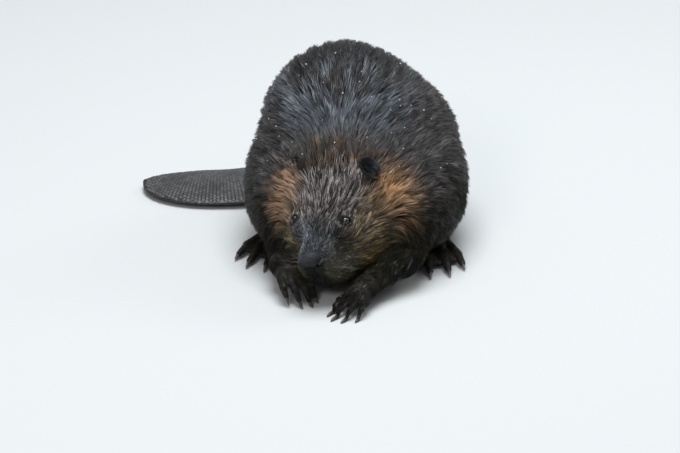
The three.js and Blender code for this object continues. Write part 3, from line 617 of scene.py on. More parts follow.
def flow(P, w, normal):
    """The way the coat lies, along the surface."""
    p, q = P.p.astype(float), P.q.astype(float)
    n = len(p)
    x, y, z = p[:, 0] - 5, p[:, 1], p[:, 2]
    side = np.clip(np.abs(x) / 120, 0, 1.2)
    low = ramp(-z, -170, -60)
    back = np.stack([0.34 * np.sign(x) * side ** 1.3, np.ones(n), -0.10 - 0.9 * side * side * (0.4 + 0.6 * low)], 1)
    rump = ramp(y, 110, 190)[:, None]
    back = back * (1 - rump) + np.array([0, 0.25, -1.0]) * rump
    chest = (ramp(-y, 70, 120) * ramp(-z, -110, -70))[:, None]
    back = back * (1 - chest) + np.stack([0.35 * np.sign(x), np.full(n, 0.35), np.full(n, -1.0)], 1) * chest
    for k, a, b, r in ((1, [80, -62, 88], [89, -108, 44], 46), (-1, [-62, -62, 86], [-69, -102, 44], 44)):
        e = limb(P.p, a, b, r, 28)
        m = (ramp(-e, -10, 14) * ramp(-z, -100, -70))[:, None]
        back = back * (1 - m) + (np.array(b, float) - a)[None] / 60 * m
    neck = np.stack([0.45 * np.sign(x) * side, np.ones(n), 0.12 - 0.5 * side], 1)
    v = q - np.array([3.0, 0, -10])
    v = unit(v)
    v[:, 0] -= 0.35
    v[:, 2] -= 0.25 * ramp(np.abs(q[:, 1]), 40, 85) * ramp(-q[:, 2], 0, 45)
    for k in (1, -1):
        e = q - (EAR_AT * [1, k, 1] + [0, 0, 6])
        m = np.exp(-np.einsum("ij,ij->i", e, e) / 24.0 ** 2) * ramp(e[:, 0], -8, 2)
        v[:, 1] += np.sign(e[:, 1]) * 1.1 * m
    head = unit(v) @ HEAD_AXES
    dirs = np.zeros((n, 10, 3))
    dirs[:, TRUNK_] = unit(back)
    dirs[:, NECK_] = unit(neck)
    dirs[:, HEAD_] = head
    dirs[:, EARS_] = np.array([-0.3, 0, 1.0]) @ HEAD_AXES
    for k, ia, ip in ((1, ARM_L, PAW_L), (-1, ARM_R, PAW_R)):
        a, b = np.array(ARMS[k][0][1][0], float), np.array(ARMS[k][0][1][1], float)
        dirs[:, ia] = (b - a) / np.linalg.norm(b - a) + np.array([0, 0, -0.25])
        dirs[:, ip] = np.array([0, -1.0, -0.1]) @ axes_of(PAWS[k][1])
    dirs[:, FOOT_] = np.array([0, -1.0, 0])
    i = np.clip((P.tail_t * TAIL_STEPS).astype(int), 0, TAIL_STEPS - 1)
    dirs[:, TAIL_] = unit(TAIL_POINTS[i + 1] - TAIL_POINTS[i])
    v = np.einsum("ij,ijk->ik", w, dirs)
    v = v - normal * np.einsum("ij,ij->i", v, normal)[:, None]
    return unit(v)


def coat_sizes(P, w):
    """Spacing, length and width of the tufts at each point, in millimetres, and the distance to the nearer eye."""
    q = P.q
    A, S, H = q[:, 0], np.abs(q[:, 1]), q[:, 2]
    cheek = ramp(S, 34, 58)
    tab = lambda *v: np.interp(A, [-150, -120, -95, -70, -50, -30, -14], v)
    head_s = tab(1.95, 1.7, 1.42, 1.28, 1.15, 1.02, 0.92) * (1 + 0.16 * cheek)
    head_l = tab(26, 23, 20, 16, 10.5, 5.6, 2.8) * (1 + 0.20 * cheek)
    head_w = tab(1.15, 0.92, 0.74, 0.64, 0.54, 0.46, 0.34) * (1 + 0.30 * cheek)
    n = len(A)
    c = lambda v: np.full(n, float(v))
    tail = lambda a, b: np.interp(P.tail_t, [0.05, 0.32], [a, b])
    spacing = np.stack([c(1.89), c(1.75), head_s, c(1.3), c(1.5), c(1.5), c(1.32), c(1.32), c(1.85), tail(2.0, 1.8)], 1)
    length = np.stack([c(29) + 4 * ramp(P.p[:, 2], 120, 180), c(26), head_l, c(4.4), c(15), c(15), c(6.2), c(6.2), c(7.5), tail(21, 7)], 1)
    width = np.stack([c(1.12), c(1.05), head_w, c(0.42), c(0.85), c(0.85), c(0.5), c(0.5), c(0.65), tail(1.15, 0.8)], 1)
    s, l, d = [(v * w).sum(1) for v in (spacing, length, width)]
    eye = np.full(n, 1e3)
    for k in (1, -1):
        eye = np.minimum(eye, np.linalg.norm(q - (EYE_AT * [1, k, 1]).astype(F), axis=1))
    near = np.where(q[:, 1] > 0, ramp(eye, 7.5, 19), ramp(eye, 5.0, 13))
    l = np.maximum(l * (0.16 + 0.84 * near), 1.2)
    for k in (1, -1):
        e = np.linalg.norm(q - (EAR_AT * [1, k, 1] + [0, 0, 10]).astype(F), axis=1)
        l = l * (0.42 + 0.58 * ramp(e, 13, 33))
    d = d * (0.5 + 0.5 * near)
    s = s * (0.62 + 0.38 * near)
    return s, l, d, eye


def bareness(P, eye):
    """1 where the skin shows: nose pad, tail blade, the rims of the lids and most of each ear's hollow."""
    q = P.q
    pad = ball(q, [-4.5, 0, -12], [12, 16.5, 14.5])
    bare = ramp(-pad, -0.8, 0.8)
    bare = np.maximum(bare, ramp(P.tail_t, 0.3, 0.36) * ramp(-P.tail, -9, -4))
    bare = np.maximum(bare, (eye < EYE_R + 0.6).astype(float))
    for k in (1, -1):
        r = into(q, EAR_AT * [1, k, 1], ear_axes(k))
        bare = np.maximum(bare, 0.85 * ramp(-ball(r, EAR_CUP, EAR_HOLLOW), -1.5, -0.8) * ramp(-P.ears, -6, -2) * ramp(r[:, 2], 3, 9))
    return bare


def streaks(P, w, across, along, seed):
    """Noise drawn out along the coat's lie: bands so many millimetres apart and long."""
    p, q = P.p, P.q
    ub = np.arctan2(p[:, 0] - 5, p[:, 2] - 60) * 130
    uh = np.arctan2(q[:, 1], q[:, 2] + 14) * 48
    head = w[:, HEAD_] > 0.5
    u = np.where(head, uh, ub)
    v = np.where(head, q[:, 0], p[:, 1])
    return wave(np.stack([u / across, v / along, np.where(head, 7.0, 0.0)], 1), 1.0, seed)


def tones(P, w):
    """The colour of the coat's tips at each point, in linear light."""
    p, q = P.p, P.q.astype(float)
    n = len(p)
    A, S, H = q[:, 0], q[:, 1], q[:, 2]
    c = lambda name: np.tile(rgb(*TONE[name]), (n, 1))
    trunk = c("back")
    # painted sheen: the top of the back is coloured a lighter bluish grey, and the left upper back is lightened
    # further, for the sky's reflection on the wet coat
    trunk = mixed(trunk, c("sheen"), ramp(p[:, 2], 156, 188) * ramp(-np.abs(p[:, 0] + 8), -108, -55) * ramp(-p[:, 2], -232, -205))
    trunk = trunk * (1 + 0.35 * ramp(-p[:, 0], 30, 80) * ramp(p[:, 2], 130, 175))[:, None]
    trunk = mixed(trunk, c("hump"), ramp(p[:, 2], 206, 236))
    trunk = mixed(trunk, c("rear"), ramp(p[:, 1], 60, 130))
    # darker and browner towards the bottom of the body: partly the coat's own browner colour, partly painted shade
    trunk = mixed(trunk, c("flank"), ramp(-p[:, 2], -142, -74))
    nape = patch(p, [-2, -84, 168], [74, 34, 38])
    trunk = mixed(trunk, mixed(c("nape_dark"), c("nape"), np.clip(0.34 + 0.7 * wave(p, 30, 5), 0, 1)), np.clip(nape * 1.25, 0, 1))
    head = c("brow")
    top = ramp(H, -14, 6) * ramp(-np.abs(S), -56, -30)
    cheek = (1 - top) * ramp(-A, 34, 58)
    head = mixed(head, c("cheek"), cheek)
    head = mixed(head, c("cheek_low"), (1 - top) * ramp(-H, 26, 54))
    head = mixed(head, c("nape_dark"), ramp(-A, 124, 150) * top)
    # the lower back of the head takes the same darker tone, with its painted shade
    head = mixed(head, c("flank"), ramp(-A, 140, 172) * (1 - top))
    neck = mixed(trunk, c("cheek"), 0.5 * ramp(-np.abs(H), -40, -5) * ramp(np.abs(S), 60, 85) * ramp(A, -175, -130))
    parts = np.stack([trunk, neck, head, c("ear"), c("arm"), c("arm"), c("paw"), c("paw"), c("foot"), c("tail")], 1)
    col = np.einsum("ij,ijk->ik", w, parts)
    # markings that run from the head over the neck and shoulder, with one patch of painted sheen on the bridge
    soft = w[:, [TRUNK_, NECK_, HEAD_]].sum(1)
    over = lambda name, amount: mixed(col, c(name), np.clip(amount, 0, 1) * soft)
    col = over("nape_tan", 0.8 * patch(p, [66, -88, 154], [40, 24, 24]))
    col = over("fire", 1.2 * patch(q, [-128, 71, -5], [23, 18, 18]) + 0.26 * patch(q, [-144, 88, -22], [22, 20, 22]) + 0.34 * patch(q, [-114, 88, -36], [24, 20, 20]))
    col = over("fire_right", 1.25 * patch(q, [-101, -58, 22], [26, 15, 17]) + 0.62 * patch(q, [-76, -62, 2], [26, 18, 20]) + 0.35 * patch(q, [-100, -74, 4], [26, 14, 22]))
    col = over("tan", 0.8 * patch(q, [-74, 55, -12], [24, 15, 14]) + 0.5 * patch(q, [-74, -46, 12], [20, 14, 14]))
    col = over("olive", 0.9 * patch(q, [-50, 56, -51], [18, 16, 13]))
    col = over("olive_right", 1.1 * patch(q, [-47, -48, -26], [24, 17, 20]))
    col = over("bridge", ramp(A, -64, -34) * ramp(-np.abs(S), -32, -20) * ramp(H, -24, -8))
    # painted sheen: a lighter bluish grey patch on the bridge's right side for the sky's reflection
    col = over("bridge_side", 0.85 * patch(q, [-42, -21, -3], [24, 11, 14]))
    col = over("mouth", ramp(A, -50, -24) * ramp(-H, 10, 28))
    col = over("black", ramp(A, -34, -20) * ramp(-np.abs(S), -20, -9) * ramp(-H, 15, 22))
    # darker under the head on the chin: partly the coat's own colour, partly painted shade
    col = over("chin", ramp(A, -66, -36) * ramp(-H, 46, 62))
    # painted shade: behind the jaw and above the arms, where the head and arms shade it, the coat is darkened towards
    # near black
    dark = patch(p, [94, -134, 36], [42, 34, 34]) + patch(p, [-88, -122, 44], [32, 32, 36])
    col = mixed(col, c("black"), np.clip(dark, 0, 1) * (1 - w[:, HEAD_] * 0.8) * 0.75)
    eye, above = np.full(n, 1e3), np.zeros(n)
    for k in (1, -1):
        e = q - EYE_AT * [1, k, 1]
        eye = np.minimum(eye, np.linalg.norm(e - GAZE * [1, k, 1] * EYE_R, axis=1))
        above = np.maximum(above, np.exp(-((e - np.array([-3.0, k * 1.5, 9.4])) ** 2 / np.array([50, 20, 5.0])).sum(1)))
    col = mixed(col, c("lid"), ramp(-eye, -9.0, -5.5))
    return mixed(col, c("brow_line"), above * 0.8)


# the sheen, pale streak and bridge side tones are painted reflections of the sky on the wet coat; the flank and chin
# tones carry painted shade
TONE = {
    "back": (88, 84, 83), "sheen": (97, 100, 106), "hump": (58, 55, 54), "rear": (74, 67, 58), "flank": (38, 34, 22), "nape": (88, 69, 55), "nape_dark": (66, 58, 52),
    "nape_tan": (112, 89, 71), "guard": (166, 174, 184), "brow": (80, 74, 71), "silver": (214, 200, 195), "bridge": (78, 78, 80), "bridge_side": (136, 141, 149),
    "cheek": (86, 72, 50), "cheek_low": (82, 69, 38), "fire": (212, 164, 118), "fire_right": (212, 170, 136), "tan": (166, 146, 118), "olive": (146, 120, 62), "olive_right": (142, 130, 98),
    "mouth": (108, 104, 80), "chin": (38, 37, 27), "black": (17, 16, 13), "fleck": (160, 148, 122),
    "ear": (56, 52, 50), "ear_skin": (30, 32, 37), "arm": (46, 43, 30), "paw": (38, 34, 31), "foot": (44, 38, 33), "tail": (56, 48, 41), "lid": (14, 12, 11), "brow_line": (140, 108, 92),
}


# ------------------------------------------------------------------ unwrap of the skin
def unwrapped(p, t):
    """Flat charts of the skin, cut where the form turns to face another way, packed in the unit square: three pairs for each triangle."""
    a, b, c = p[t[:, 0]], p[t[:, 1]], p[t[:, 2]]
    _, n = slope(outer_field, (a + b + c) / 3, 3.0)
    face = np.stack([n[:, 0], -n[:, 0], n[:, 1], -n[:, 1], n[:, 2], -n[:, 2]], 1)
    label = face.argmax(1)
    e = np.sort(np.stack([t[:, [0, 1]], t[:, [1, 2]], t[:, [2, 0]]], 1), -1)
    key = (e[..., 0].astype(np.int64) * len(p) + e[..., 1]).ravel()
    order = np.argsort(key, kind="stable")
    first, second = order[0::2] // 3, order[1::2] // 3
    area = np.linalg.norm(np.cross(b - a, c - a), axis=1) / 2
    nt = len(t)
    for _ in range(12):
        root = np.arange(nt)
        same = label[first] == label[second]
        x, y = first[same], second[same]
        while True:
            old = root
            lo = np.minimum(root[x], root[y])
            order = np.argsort(-lo, kind="stable")
            root = root.copy()
            root[x[order]] = np.minimum(root[x[order]], lo[order])
            root[y[order]] = np.minimum(root[y[order]], lo[order])
            root = root[root][root[root]]
            if (root == old).all():
                break
        charts, chart = np.unique(root, return_inverse=True)
        size = np.bincount(chart, area)
        small = size < 260
        if not small.any():
            break
        # a small chart joins the neighbour that it shares most edges with
        ca, cb = np.concatenate([chart[first], chart[second]]), np.concatenate([chart[second], chart[first]])
        lab = np.zeros(len(charts), int)
        lab[chart] = label
        m = (ca != cb) & small[ca] & (size[cb] >= size[ca])
        vote = np.bincount(ca[m] * 6 + lab[cb[m]], minlength=len(charts) * 6).reshape(-1, 6)
        go = vote.max(1) > 0
        lab = np.where(go & small, vote.argmax(1), lab)
        if (lab[chart] == label).all():
            break
        label = lab[chart]
    across = np.array([[1, 2], [1, 2], [0, 2], [0, 2], [0, 1], [0, 1]])
    uv = np.zeros((nt, 3, 2))
    for ax in range(6):
        m = label == ax
        uv[m] = p[t[m]][:, :, across[ax]]
    lo = np.full((len(charts), 2), 1e9)
    hi = np.full((len(charts), 2), -1e9)
    for j in range(3):
        np.minimum.at(lo, chart, uv[:, j])
        np.maximum.at(hi, chart, uv[:, j])
    wh = hi - lo
    gap = 3.0
    # tallest first, each in the lowest place along the sheet where it fits
    for width in np.arange(520, 2600, 20.0):
        sky = np.zeros(int(width) + 1)
        at = np.zeros((len(charts), 2))
        fits = True
        for i in np.argsort(-wh[:, 1]):
            w, h = int(math.ceil(wh[i, 0] + gap)), wh[i, 1] + gap
            if w >= width:
                fits = False
                break
            tops = np.lib.stride_tricks.sliding_window_view(sky, w).max(1)
            j = int(tops.argmin())
            if tops[j] + h > width:
                fits = False
                break
            at[i] = j + gap / 2, tops[j] + gap / 2
            sky[j:j + w] = tops[j] + h
        if fits:
            break
    uv = (uv - lo[chart][:, None] + at[chart][:, None]) / width
    say("charts", len(charts), "sheet side", width)
    return uv


# ------------------------------------------------------------------ tufts
def rooted(p, t, rng, few):
    """Places for tufts spread over the skin, each with its triangle and corner weights."""
    a, b, c = p[t[:, 0]], p[t[:, 1]], p[t[:, 2]]
    mid = (a + b + c) / 3
    cr = np.cross(b - a, c - a)
    area = np.linalg.norm(cr, axis=1) / 2
    up = cr[:, 2] / np.maximum(2 * area, 1e-9)
    P = Parts(mid)
    w = weights(P)
    s, _, _, eye = coat_sizes(P, w)
    grow = (1 - bareness(P, eye)) * (mid[:, 2] > 1.2)
    under = ramp(-up, 0.35, 0.75) * ramp(-mid[:, 2], -42, -22)
    want = area / s ** 2 * grow * (1 - 0.8 * under) * few
    g = ((mid - mid.min(0)) / 4.0).astype(np.int64)
    code = np.zeros(len(g), np.int64)
    for bit in range(8):
        for ax in range(3):
            code |= ((g[:, ax] >> bit) & 1) << (3 * bit + ax)
    order = np.argsort(code, kind="stable")
    cum = np.cumsum(want[order])
    n = int(cum[-1])
    u = (np.arange(n) + rng.random(n)) * (cum[-1] / n)
    k = order[np.minimum(np.searchsorted(cum, u), len(t) - 1)]
    r1, r2 = np.sqrt(rng.random(n)), rng.random(n)
    bary = np.stack([1 - r1, r1 * (1 - r2), r1 * r2], 1)
    return np.einsum("ij,ijk->ik", bary, p[t[k]]), k, bary


def slope(fn, p, h=0.8):
    """Value and unit slope from four probes."""
    k = np.array([[1, -1, -1], [-1, -1, 1], [-1, 1, -1], [1, 1, 1]], float)
    v = [chunked(fn, (p + k[i] * h).astype(F)) for i in range(4)]
    g = sum(k[i] * v[i][:, None] for i in range(4))
    return sum(v) / 4, unit(g)


def nearest(points, others):
    tree = kdtree.KDTree(len(others))
    for i, v in enumerate(others.tolist()):
        tree.insert(v, i)
    tree.balance()
    out = np.empty(len(points), np.int64)
    far = np.empty(len(points))
    for i, v in enumerate(points.tolist()):
        _, out[i], far[i] = tree.find(v)
    return out, far


def grown(p, t, uv, rng, few=1.0):
    """Every tuft's course, width, colour, unwrap place and kind."""
    root, k, bary = rooted(p, t, rng, few)
    n = len(root)
    ruv = np.einsum("ij,ijk->ik", bary, uv[k])
    P = Parts(root)
    w = weights(P)
    spacing, length, width, eye = coat_sizes(P, w)
    depth = np.maximum(-P.outer(), 0.15)
    _, normal = slope(outer_field, root)
    lie = flow(P, w, normal)
    # slow wandering of the lie, and each tuft's own
    turn = 0.20 * wave(root, 60, 11) + 0.13 * wave(root, 17, 12) + rng.normal(0, 0.10, n)
    turn = turn * (1 - 0.45 * w[:, TRUNK_] * ramp(root[:, 2], 90, 160))
    lie = unit(lie * np.cos(turn)[:, None] + np.cross(normal, lie) * np.sin(turn)[:, None])
    length = length * np.exp(rng.normal(0, 0.16, n))
    width = width * np.exp(rng.normal(0, 0.14, n))
    say("tufts", n, "mean length", round(float(length.mean()), 1))
    steps = np.array([0.34, 0.68, 1.0])
    course = [root - normal * 0.5]
    at, way, nrm = root, lie, normal
    for i, s in enumerate(steps):
        at = at + way * (length * (s - (steps[i - 1] if i else 0)))[:, None]
        f, nrm = slope(outer_field, at)
        goal = -depth * (1 - s ** 0.85)
        at = at - nrm * (f - goal)[:, None]
        way = unit(way - nrm * np.einsum("ij,ij->i", way, nrm)[:, None])
        if i < 2:
            Q = Parts(at)
            again = flow(Q, weights(Q), nrm)
            bend = turn + (0.18 + 0.08 * (w[:, HEAD_] > 0.5)) * wave(at, 18, 14)
            again = again * np.cos(bend)[:, None] + np.cross(nrm, again) * np.sin(bend)[:, None]
            way = unit(way * 0.3 + again * 0.7)
        course.append(at)
    course = np.stack(course, 1)
    # locks: neighbours draw together towards their tips
    every = np.clip(np.where(w[:, HEAD_] > 0.5, 7, 9), 1, None)
    pick = (np.arange(n) + rng.integers(0, 5, n)) % every == 0
    heads = np.nonzero(pick)[0]
    mine, far = nearest(root, root[heads])
    lead = heads[mine]
    near = (far < spacing * 3.2) & (np.einsum("ij,ij->i", lie, lie[lead]) > 0.75)
    pull = np.where(near, rng.uniform(0.34, 0.78, n) + 0.10 * (w[:, HEAD_] > 0.5), 0) * np.interp(length, [2, 7, 20], [0.2, 0.66, 1.0])
    jitter = rng.normal(0, 1, (n, 3)) * (width * 0.45)[:, None]
    for i, s in ((1, 0.34), (2, 0.68), (3, 1.0)):
        g = (pull * s ** 1.15)[:, None]
        course[:, i] = course[:, i] * (1 - g) + (course[lead, i] + jitter) * g
    # tips stand a little off or sink a little under the coat's surface
    lockf = rng.uniform(-0.42, 0.12, n)[lead]
    offset = np.clip(depth * (lockf + rng.uniform(-0.18, 0.10, n)), -3.6, 1.1)
    crown = ramp(root[:, 2], 190, 222) * (w[:, TRUNK_] > 0.5)
    offset = offset * (1 - 0.55 * crown)
    parting = ramp(-streaks(P, w, 8.0, 120, 61), 0.12, 0.6) * ramp(root[:, 2], 198, 222) * (w[:, TRUNK_] > 0.5)
    offset = offset - parting * 3.8
    for i, s in ((1, 0.34), (2, 0.68), (3, 1.0)):
        f, nrm = slope(outer_field, course[:, i])
        goal = -depth * (1 - s ** 0.85) + offset * s
        course[:, i] -= nrm * (f - goal)[:, None]
    course[:, 1:, 2] = np.maximum(course[:, 1:, 2], 0.4)
    # colour
    Q = Parts(course[:, 2])
    tip = tones(Q, weights(Q))
    # contrast between locks: low on the back's sheen, high on the cheeks, flanks and limbs
    sheen = ramp(normal[:, 2], 0.35, 0.8) * ramp(root[:, 2], 130, 180) * w[:, TRUNK_]
    strong = 1.6 + 0.6 * (w[:, HEAD_] > 0.5) - 0.85 * sheen - 0.8 * (w[:, PAW_L] + w[:, PAW_R] + w[:, FOOT_] > 0.5)
    drawn = streaks(P, w, 3.4, 60, 62)
    bright = np.exp(strong * (0.25 * rng.normal(0, 1, n)[lead] + 0.20 * drawn) + rng.normal(0, 0.17, n)) * (1 + 0.12 * wave(root, 26, 21))
    bright = bright * np.exp(-0.5 * (strong * 0.30) ** 2)
    q = P.q
    chance = rng.random(n)
    brow = ramp(q[:, 0], -150, -122) * ramp(-q[:, 0], 36, 60) * ramp(-np.abs(q[:, 1]), -52, -36) * ramp(q[:, 2], -8, 6) * (w[:, HEAD_] + 0.6 * w[:, NECK_]).clip(0, 1)
    silver = (drawn + 0.6 * rng.normal(0, 1, n)[lead] + 0.5 * rng.normal(0, 1, n) > 0.48) & (chance < brow)
    tip = np.where(silver[:, None], tip * 0.25 + rgb(*TONE["silver"]) * 0.75, tip)
    width = np.where(silver, width * 0.82, width)
    # painted highlights: pale bluish streaks on the bridge, along the top of the back, thinly over the rest of the
    # trunk and on the arms, for the sky's glint on wet hair
    bridge = ramp(q[:, 0], -64, -36) * ramp(-q[:, 0], 14, 20) * ramp(-np.abs(q[:, 1]), -30, -20) * ramp(q[:, 2], -20, -6) * w[:, HEAD_]
    pale = (drawn + 0.7 * rng.normal(0, 1, n) > 0.8) & (chance < bridge)
    glint_band = ramp(root[:, 2], 168, 192) * ramp(-root[:, 2], -250, -232) * ramp(-np.abs(root[:, 0] - 8), -100, -60) * ramp(-root[:, 1], -60, 0) * w[:, TRUNK_] + 0.10 * w[:, TRUNK_] * ramp(root[:, 2], 60, 120) + 0.14 * (w[:, ARM_L] + w[:, ARM_R])
    pale |= (1.15 * drawn + 0.25 * rng.normal(0, 1, n)[lead] + 0.3 * rng.normal(0, 1, n) > 0.95) & (chance < glint_band)
    tip = np.where(pale[:, None], tip * 0.55 + rgb(*TONE["guard"]) * 0.45, tip)
    bed = np.exp(-(((q - np.array([-32, 28, -26])) / np.array([20, 14, 20])) ** 2).sum(1)) + np.exp(-(((q - np.array([-32, -28, -26])) / np.array([20, 14, 20])) ** 2).sum(1))
    tip = np.where(((chance < 0.18 * bed) & (w[:, HEAD_] > 0.5))[:, None], rgb(*TONE["fleck"])[None], tip)
    dark = rng.random(n)[lead] < 0.20
    bright = np.where(dark & ~silver, bright * 0.6, bright)
    bright = np.where(silver | pale, np.clip(bright, 0.75, 1.5), bright) * (1 - 0.72 * parting)
    tip = np.maximum(tip * bright[:, None], 0.002)
    tip = tip * np.minimum(1, 0.55 / tip.max(1))[:, None]
    kind = np.where(w[:, HEAD_] + w[:, EARS_] > 0.5, 1, np.where(w[:, ARM_L:TAIL_].sum(1) > 0.5, 2, np.where(rng.random(n) < sheen, 0, 3)))
    return dict(course=course, normal=normal, width=width, tip=tip, uv=ruv, kind=kind, length=length)


RING = np.array([[-0.5, 0.0], [0.5, 0.0], [0.0, 0.42]])
TUFT = []
for _r in (0, 1):
    for _a, _b in ((0, 1), (1, 2), (2, 0)):
        TUFT += [[3 * _r + _a, 3 * _r + _b, 3 * _r + 3 + _b], [3 * _r + _a, 3 * _r + 3 + _b, 3 * _r + 3 + _a]]
TUFT += [[6 + _a, 6 + _b, 9] for _a, _b in ((0, 1), (1, 2), (2, 0))] + [[0, 2, 1]]
TUFT = np.array(TUFT)
TUFT_UV = np.array([[-1, -1], [1, -1], [0, -1], [-1, -0.34], [1, -0.34], [0, -0.34], [-0.7, 0.34], [0.7, 0.34], [0, 0.34], [0, 1]]) * 0.0014


def tuft_mesh(name, T, pick):
    c, w, up, tip = T["course"][pick], T["width"][pick], T["normal"][pick], T["tip"][pick]
    n = len(c)
    d = unit((c[:, 3] - c[:, 0]))
    verts = np.empty((n, 10, 3))
    for r, wide in ((0, 0.9), (1, 1.0), (2, 0.66)):
        along = unit(c[:, r + 1] - c[:, max(r - 1, 0)])
        side = unit(np.cross(up, along))
        rise = np.cross(along, side)
        for j in range(3):
            verts[:, 3 * r + j] = c[:, r] + side * (w * wide * RING[j, 0])[:, None] + rise * (w * wide * RING[j, 1])[:, None]
    verts[:, 9] = c[:, 3]
    verts[:, :, 2] = np.maximum(verts[:, :, 2], 0.25)
    tris = (TUFT[None] + 10 * np.arange(n)[:, None, None]).reshape(-1, 3)
    # painted shade: each tuft darker towards its root, deep in the coat, and a little lighter at its tip
    shade = np.array([0.16] * 3 + [0.48] * 3 + [0.92] * 3 + [1.22])
    col = np.clip(tip[:, None, :] * shade[None, :, None], 0, 1).reshape(-1, 3)
    o = solid(name, verts.reshape(-1, 3), tris)
    tinted(o, col)
    uv = (T["uv"][pick][:, None, :] + TUFT_UV[None])
    mapped(o, np.take_along_axis(uv.reshape(-1, 2), tris.reshape(-1, 1).repeat(2, 1), 0))
    return o


# ------------------------------------------------------------------ claws, whiskers, scales, eyes, drops
def tube(points, radii, sides=8, flat=1.0, up=None):
    """A closed tapering tube: points, triangles."""
    points = np.asarray(points, float)
    v, f = [], []
    n = len(points)
    ref = np.array(up if up is not None else [0, 0, 1.0])
    for i in range(n):
        d = points[min(i + 1, n - 1)] - points[max(i - 1, 0)]
        d /= np.linalg.norm(d)
        side = np.cross(ref, d)
        side /= max(np.linalg.norm(side), 1e-9)
        rise = np.cross(d, side)
        for j in range(sides):
            a = 2 * math.pi * j / sides
            v.append(points[i] + side * math.cos(a) * radii[i] + rise * math.sin(a) * radii[i] * flat)
    for i in range(n - 1):
        for j in range(sides):
            a, b = i * sides + j, i * sides + (j + 1) % sides
            f += [[a, b, b + sides], [a, b + sides, a + sides]]
    v += [points[0], points[-1]]
    k = n * sides
    for j in range(sides):
        f += [[k, (j + 1) % sides, j], [k + 1, (n - 1) * sides + j, (n - 1) * sides + (j + 1) % sides]]
    return np.array(v), np.array(f)


class Heap:
    """Several closed forms gathered into one mesh."""

    def __init__(s):
        s.v, s.f, s.c, s.n = [], [], [], 0

    def add(s, v, f, c):
        s.v.append(v)
        s.f.append(np.asarray(f) + s.n)
        s.c.append(np.broadcast_to(c, (len(v), 3)) if np.ndim(c) == 1 else c)
        s.n += len(v)

    def solid(s, name, smooth=True):
        return tinted(solid(name, np.concatenate(s.v), np.concatenate(s.f), smooth), np.concatenate(s.c))


def claws():
    h = Heap()
    horn, pale = rgb(46, 40, 36), rgb(112, 98, 84)
    for places, digits, thick, claw in ((PAWS, FORE_DIGITS, 5.6, 2.4), (FEET, HIND_DIGITS, 7.0, 2.8)):
        for side in (1, -1):
            at, turn = places[side]
            axes = axes_of(turn)
            for root, knuckle, tip, length in digits:
                knuckle, tip = [np.array([side * v[0], v[1], v[2]], float) for v in (knuckle, tip)]
                d = (tip - knuckle) / np.linalg.norm(tip - knuckle)
                end = tip + d * length
                end[2] -= 0.12 * length
                start = tip - d * 3.2
                start[2] += 0.5
                mid = (tip + end) / 2
                mid[2] += 0.09 * length
                u = np.linspace(0, 1, 11)
                pts = np.outer((1 - u) ** 2, start) + np.outer(2 * u * (1 - u), mid + d * 0.6) + np.outer(u * u, end)
                pts = out_of(pts, at, axes)
                r = claw * 0.98 * np.power(np.clip(1 - (u * 0.94) ** 1.7, 0, 1), 0.62) + 0.05
                pts[:, 2] = np.maximum(pts[:, 2], r * 1.05 + 0.1)
                v, f = tube(pts, r, 12, 0.86)
                c = horn + (pale - horn) * np.repeat(np.concatenate([u ** 2, [0, 1]]), [12] * 11 + [1, 1])[:, None] * 0.55
                h.add(v, f, c)
    return h.solid("claws")


def whiskers(rng):
    h = Heap()
    for side in (1, -1):
        for i in range(17):
            row, col = i % 4, i // 4
            q0 = np.array([-13.0 - 5.2 * col + rng.normal(0, 0.7), side * (19 + 2.6 * col + rng.normal(0, 0.6)), -18.0 - 5.2 * row + rng.normal(0, 0.7)])
            w0 = out_of(q0, HEAD_AT, HEAD_AXES)[None]
            for _ in range(3):
                f, g = slope(outer_field, w0, 0.5)
                w0 = w0 - g * (f + 0.8)[:, None]
            d = np.array([-0.55 + rng.normal(0, 0.12), side * (0.9 + rng.normal(0, 0.1)), -0.35 + 0.05 * (1.5 - row) + rng.normal(0, 0.12)]) @ HEAD_AXES
            d = d / np.linalg.norm(d)
            d = d + g[0] * max(0.0, 0.45 - d @ g[0])
            d /= np.linalg.norm(d)
            length = rng.uniform(26, 44)
            u = np.linspace(0, 1, 9)
            sag = np.array([0, 0.25, -1.0]) * (rng.uniform(0.12, 0.28) * length)
            pts = w0 + np.outer(u * length, d) + np.outer(u ** 2.2, sag)
            f, g = slope(outer_field, pts, 0.8)
            pts = pts + g * np.maximum(0.5 - f, 0)[:, None] * (u > 0.12)[:, None]
            v, f = tube(pts, 0.30 * (1 - u) ** 0.8 + 0.04, 5)
            h.add(v, f, rgb(96, 88, 80) if rng.random() < 0.4 else rgb(34, 30, 28))
    return h.solid("whiskers")


def tail_frames(s):
    """Points, directions and sideways directions along the tail's middle line, s from 0 to 1."""
    x = np.clip(s, 0, 1) * TAIL_STEPS
    i = np.minimum(x.astype(int), TAIL_STEPS - 1)
    w = (x - i)[:, None]
    c = TAIL_POINTS[i] * (1 - w) + TAIL_POINTS[i + 1] * w
    tang = np.gradient(TAIL_POINTS, axis=0)
    d = unit(tang[i] * (1 - w) + tang[i + 1] * w)
    side = unit(np.stack([-d[:, 1], d[:, 0], np.zeros(len(d))], 1))
    return c, d, side


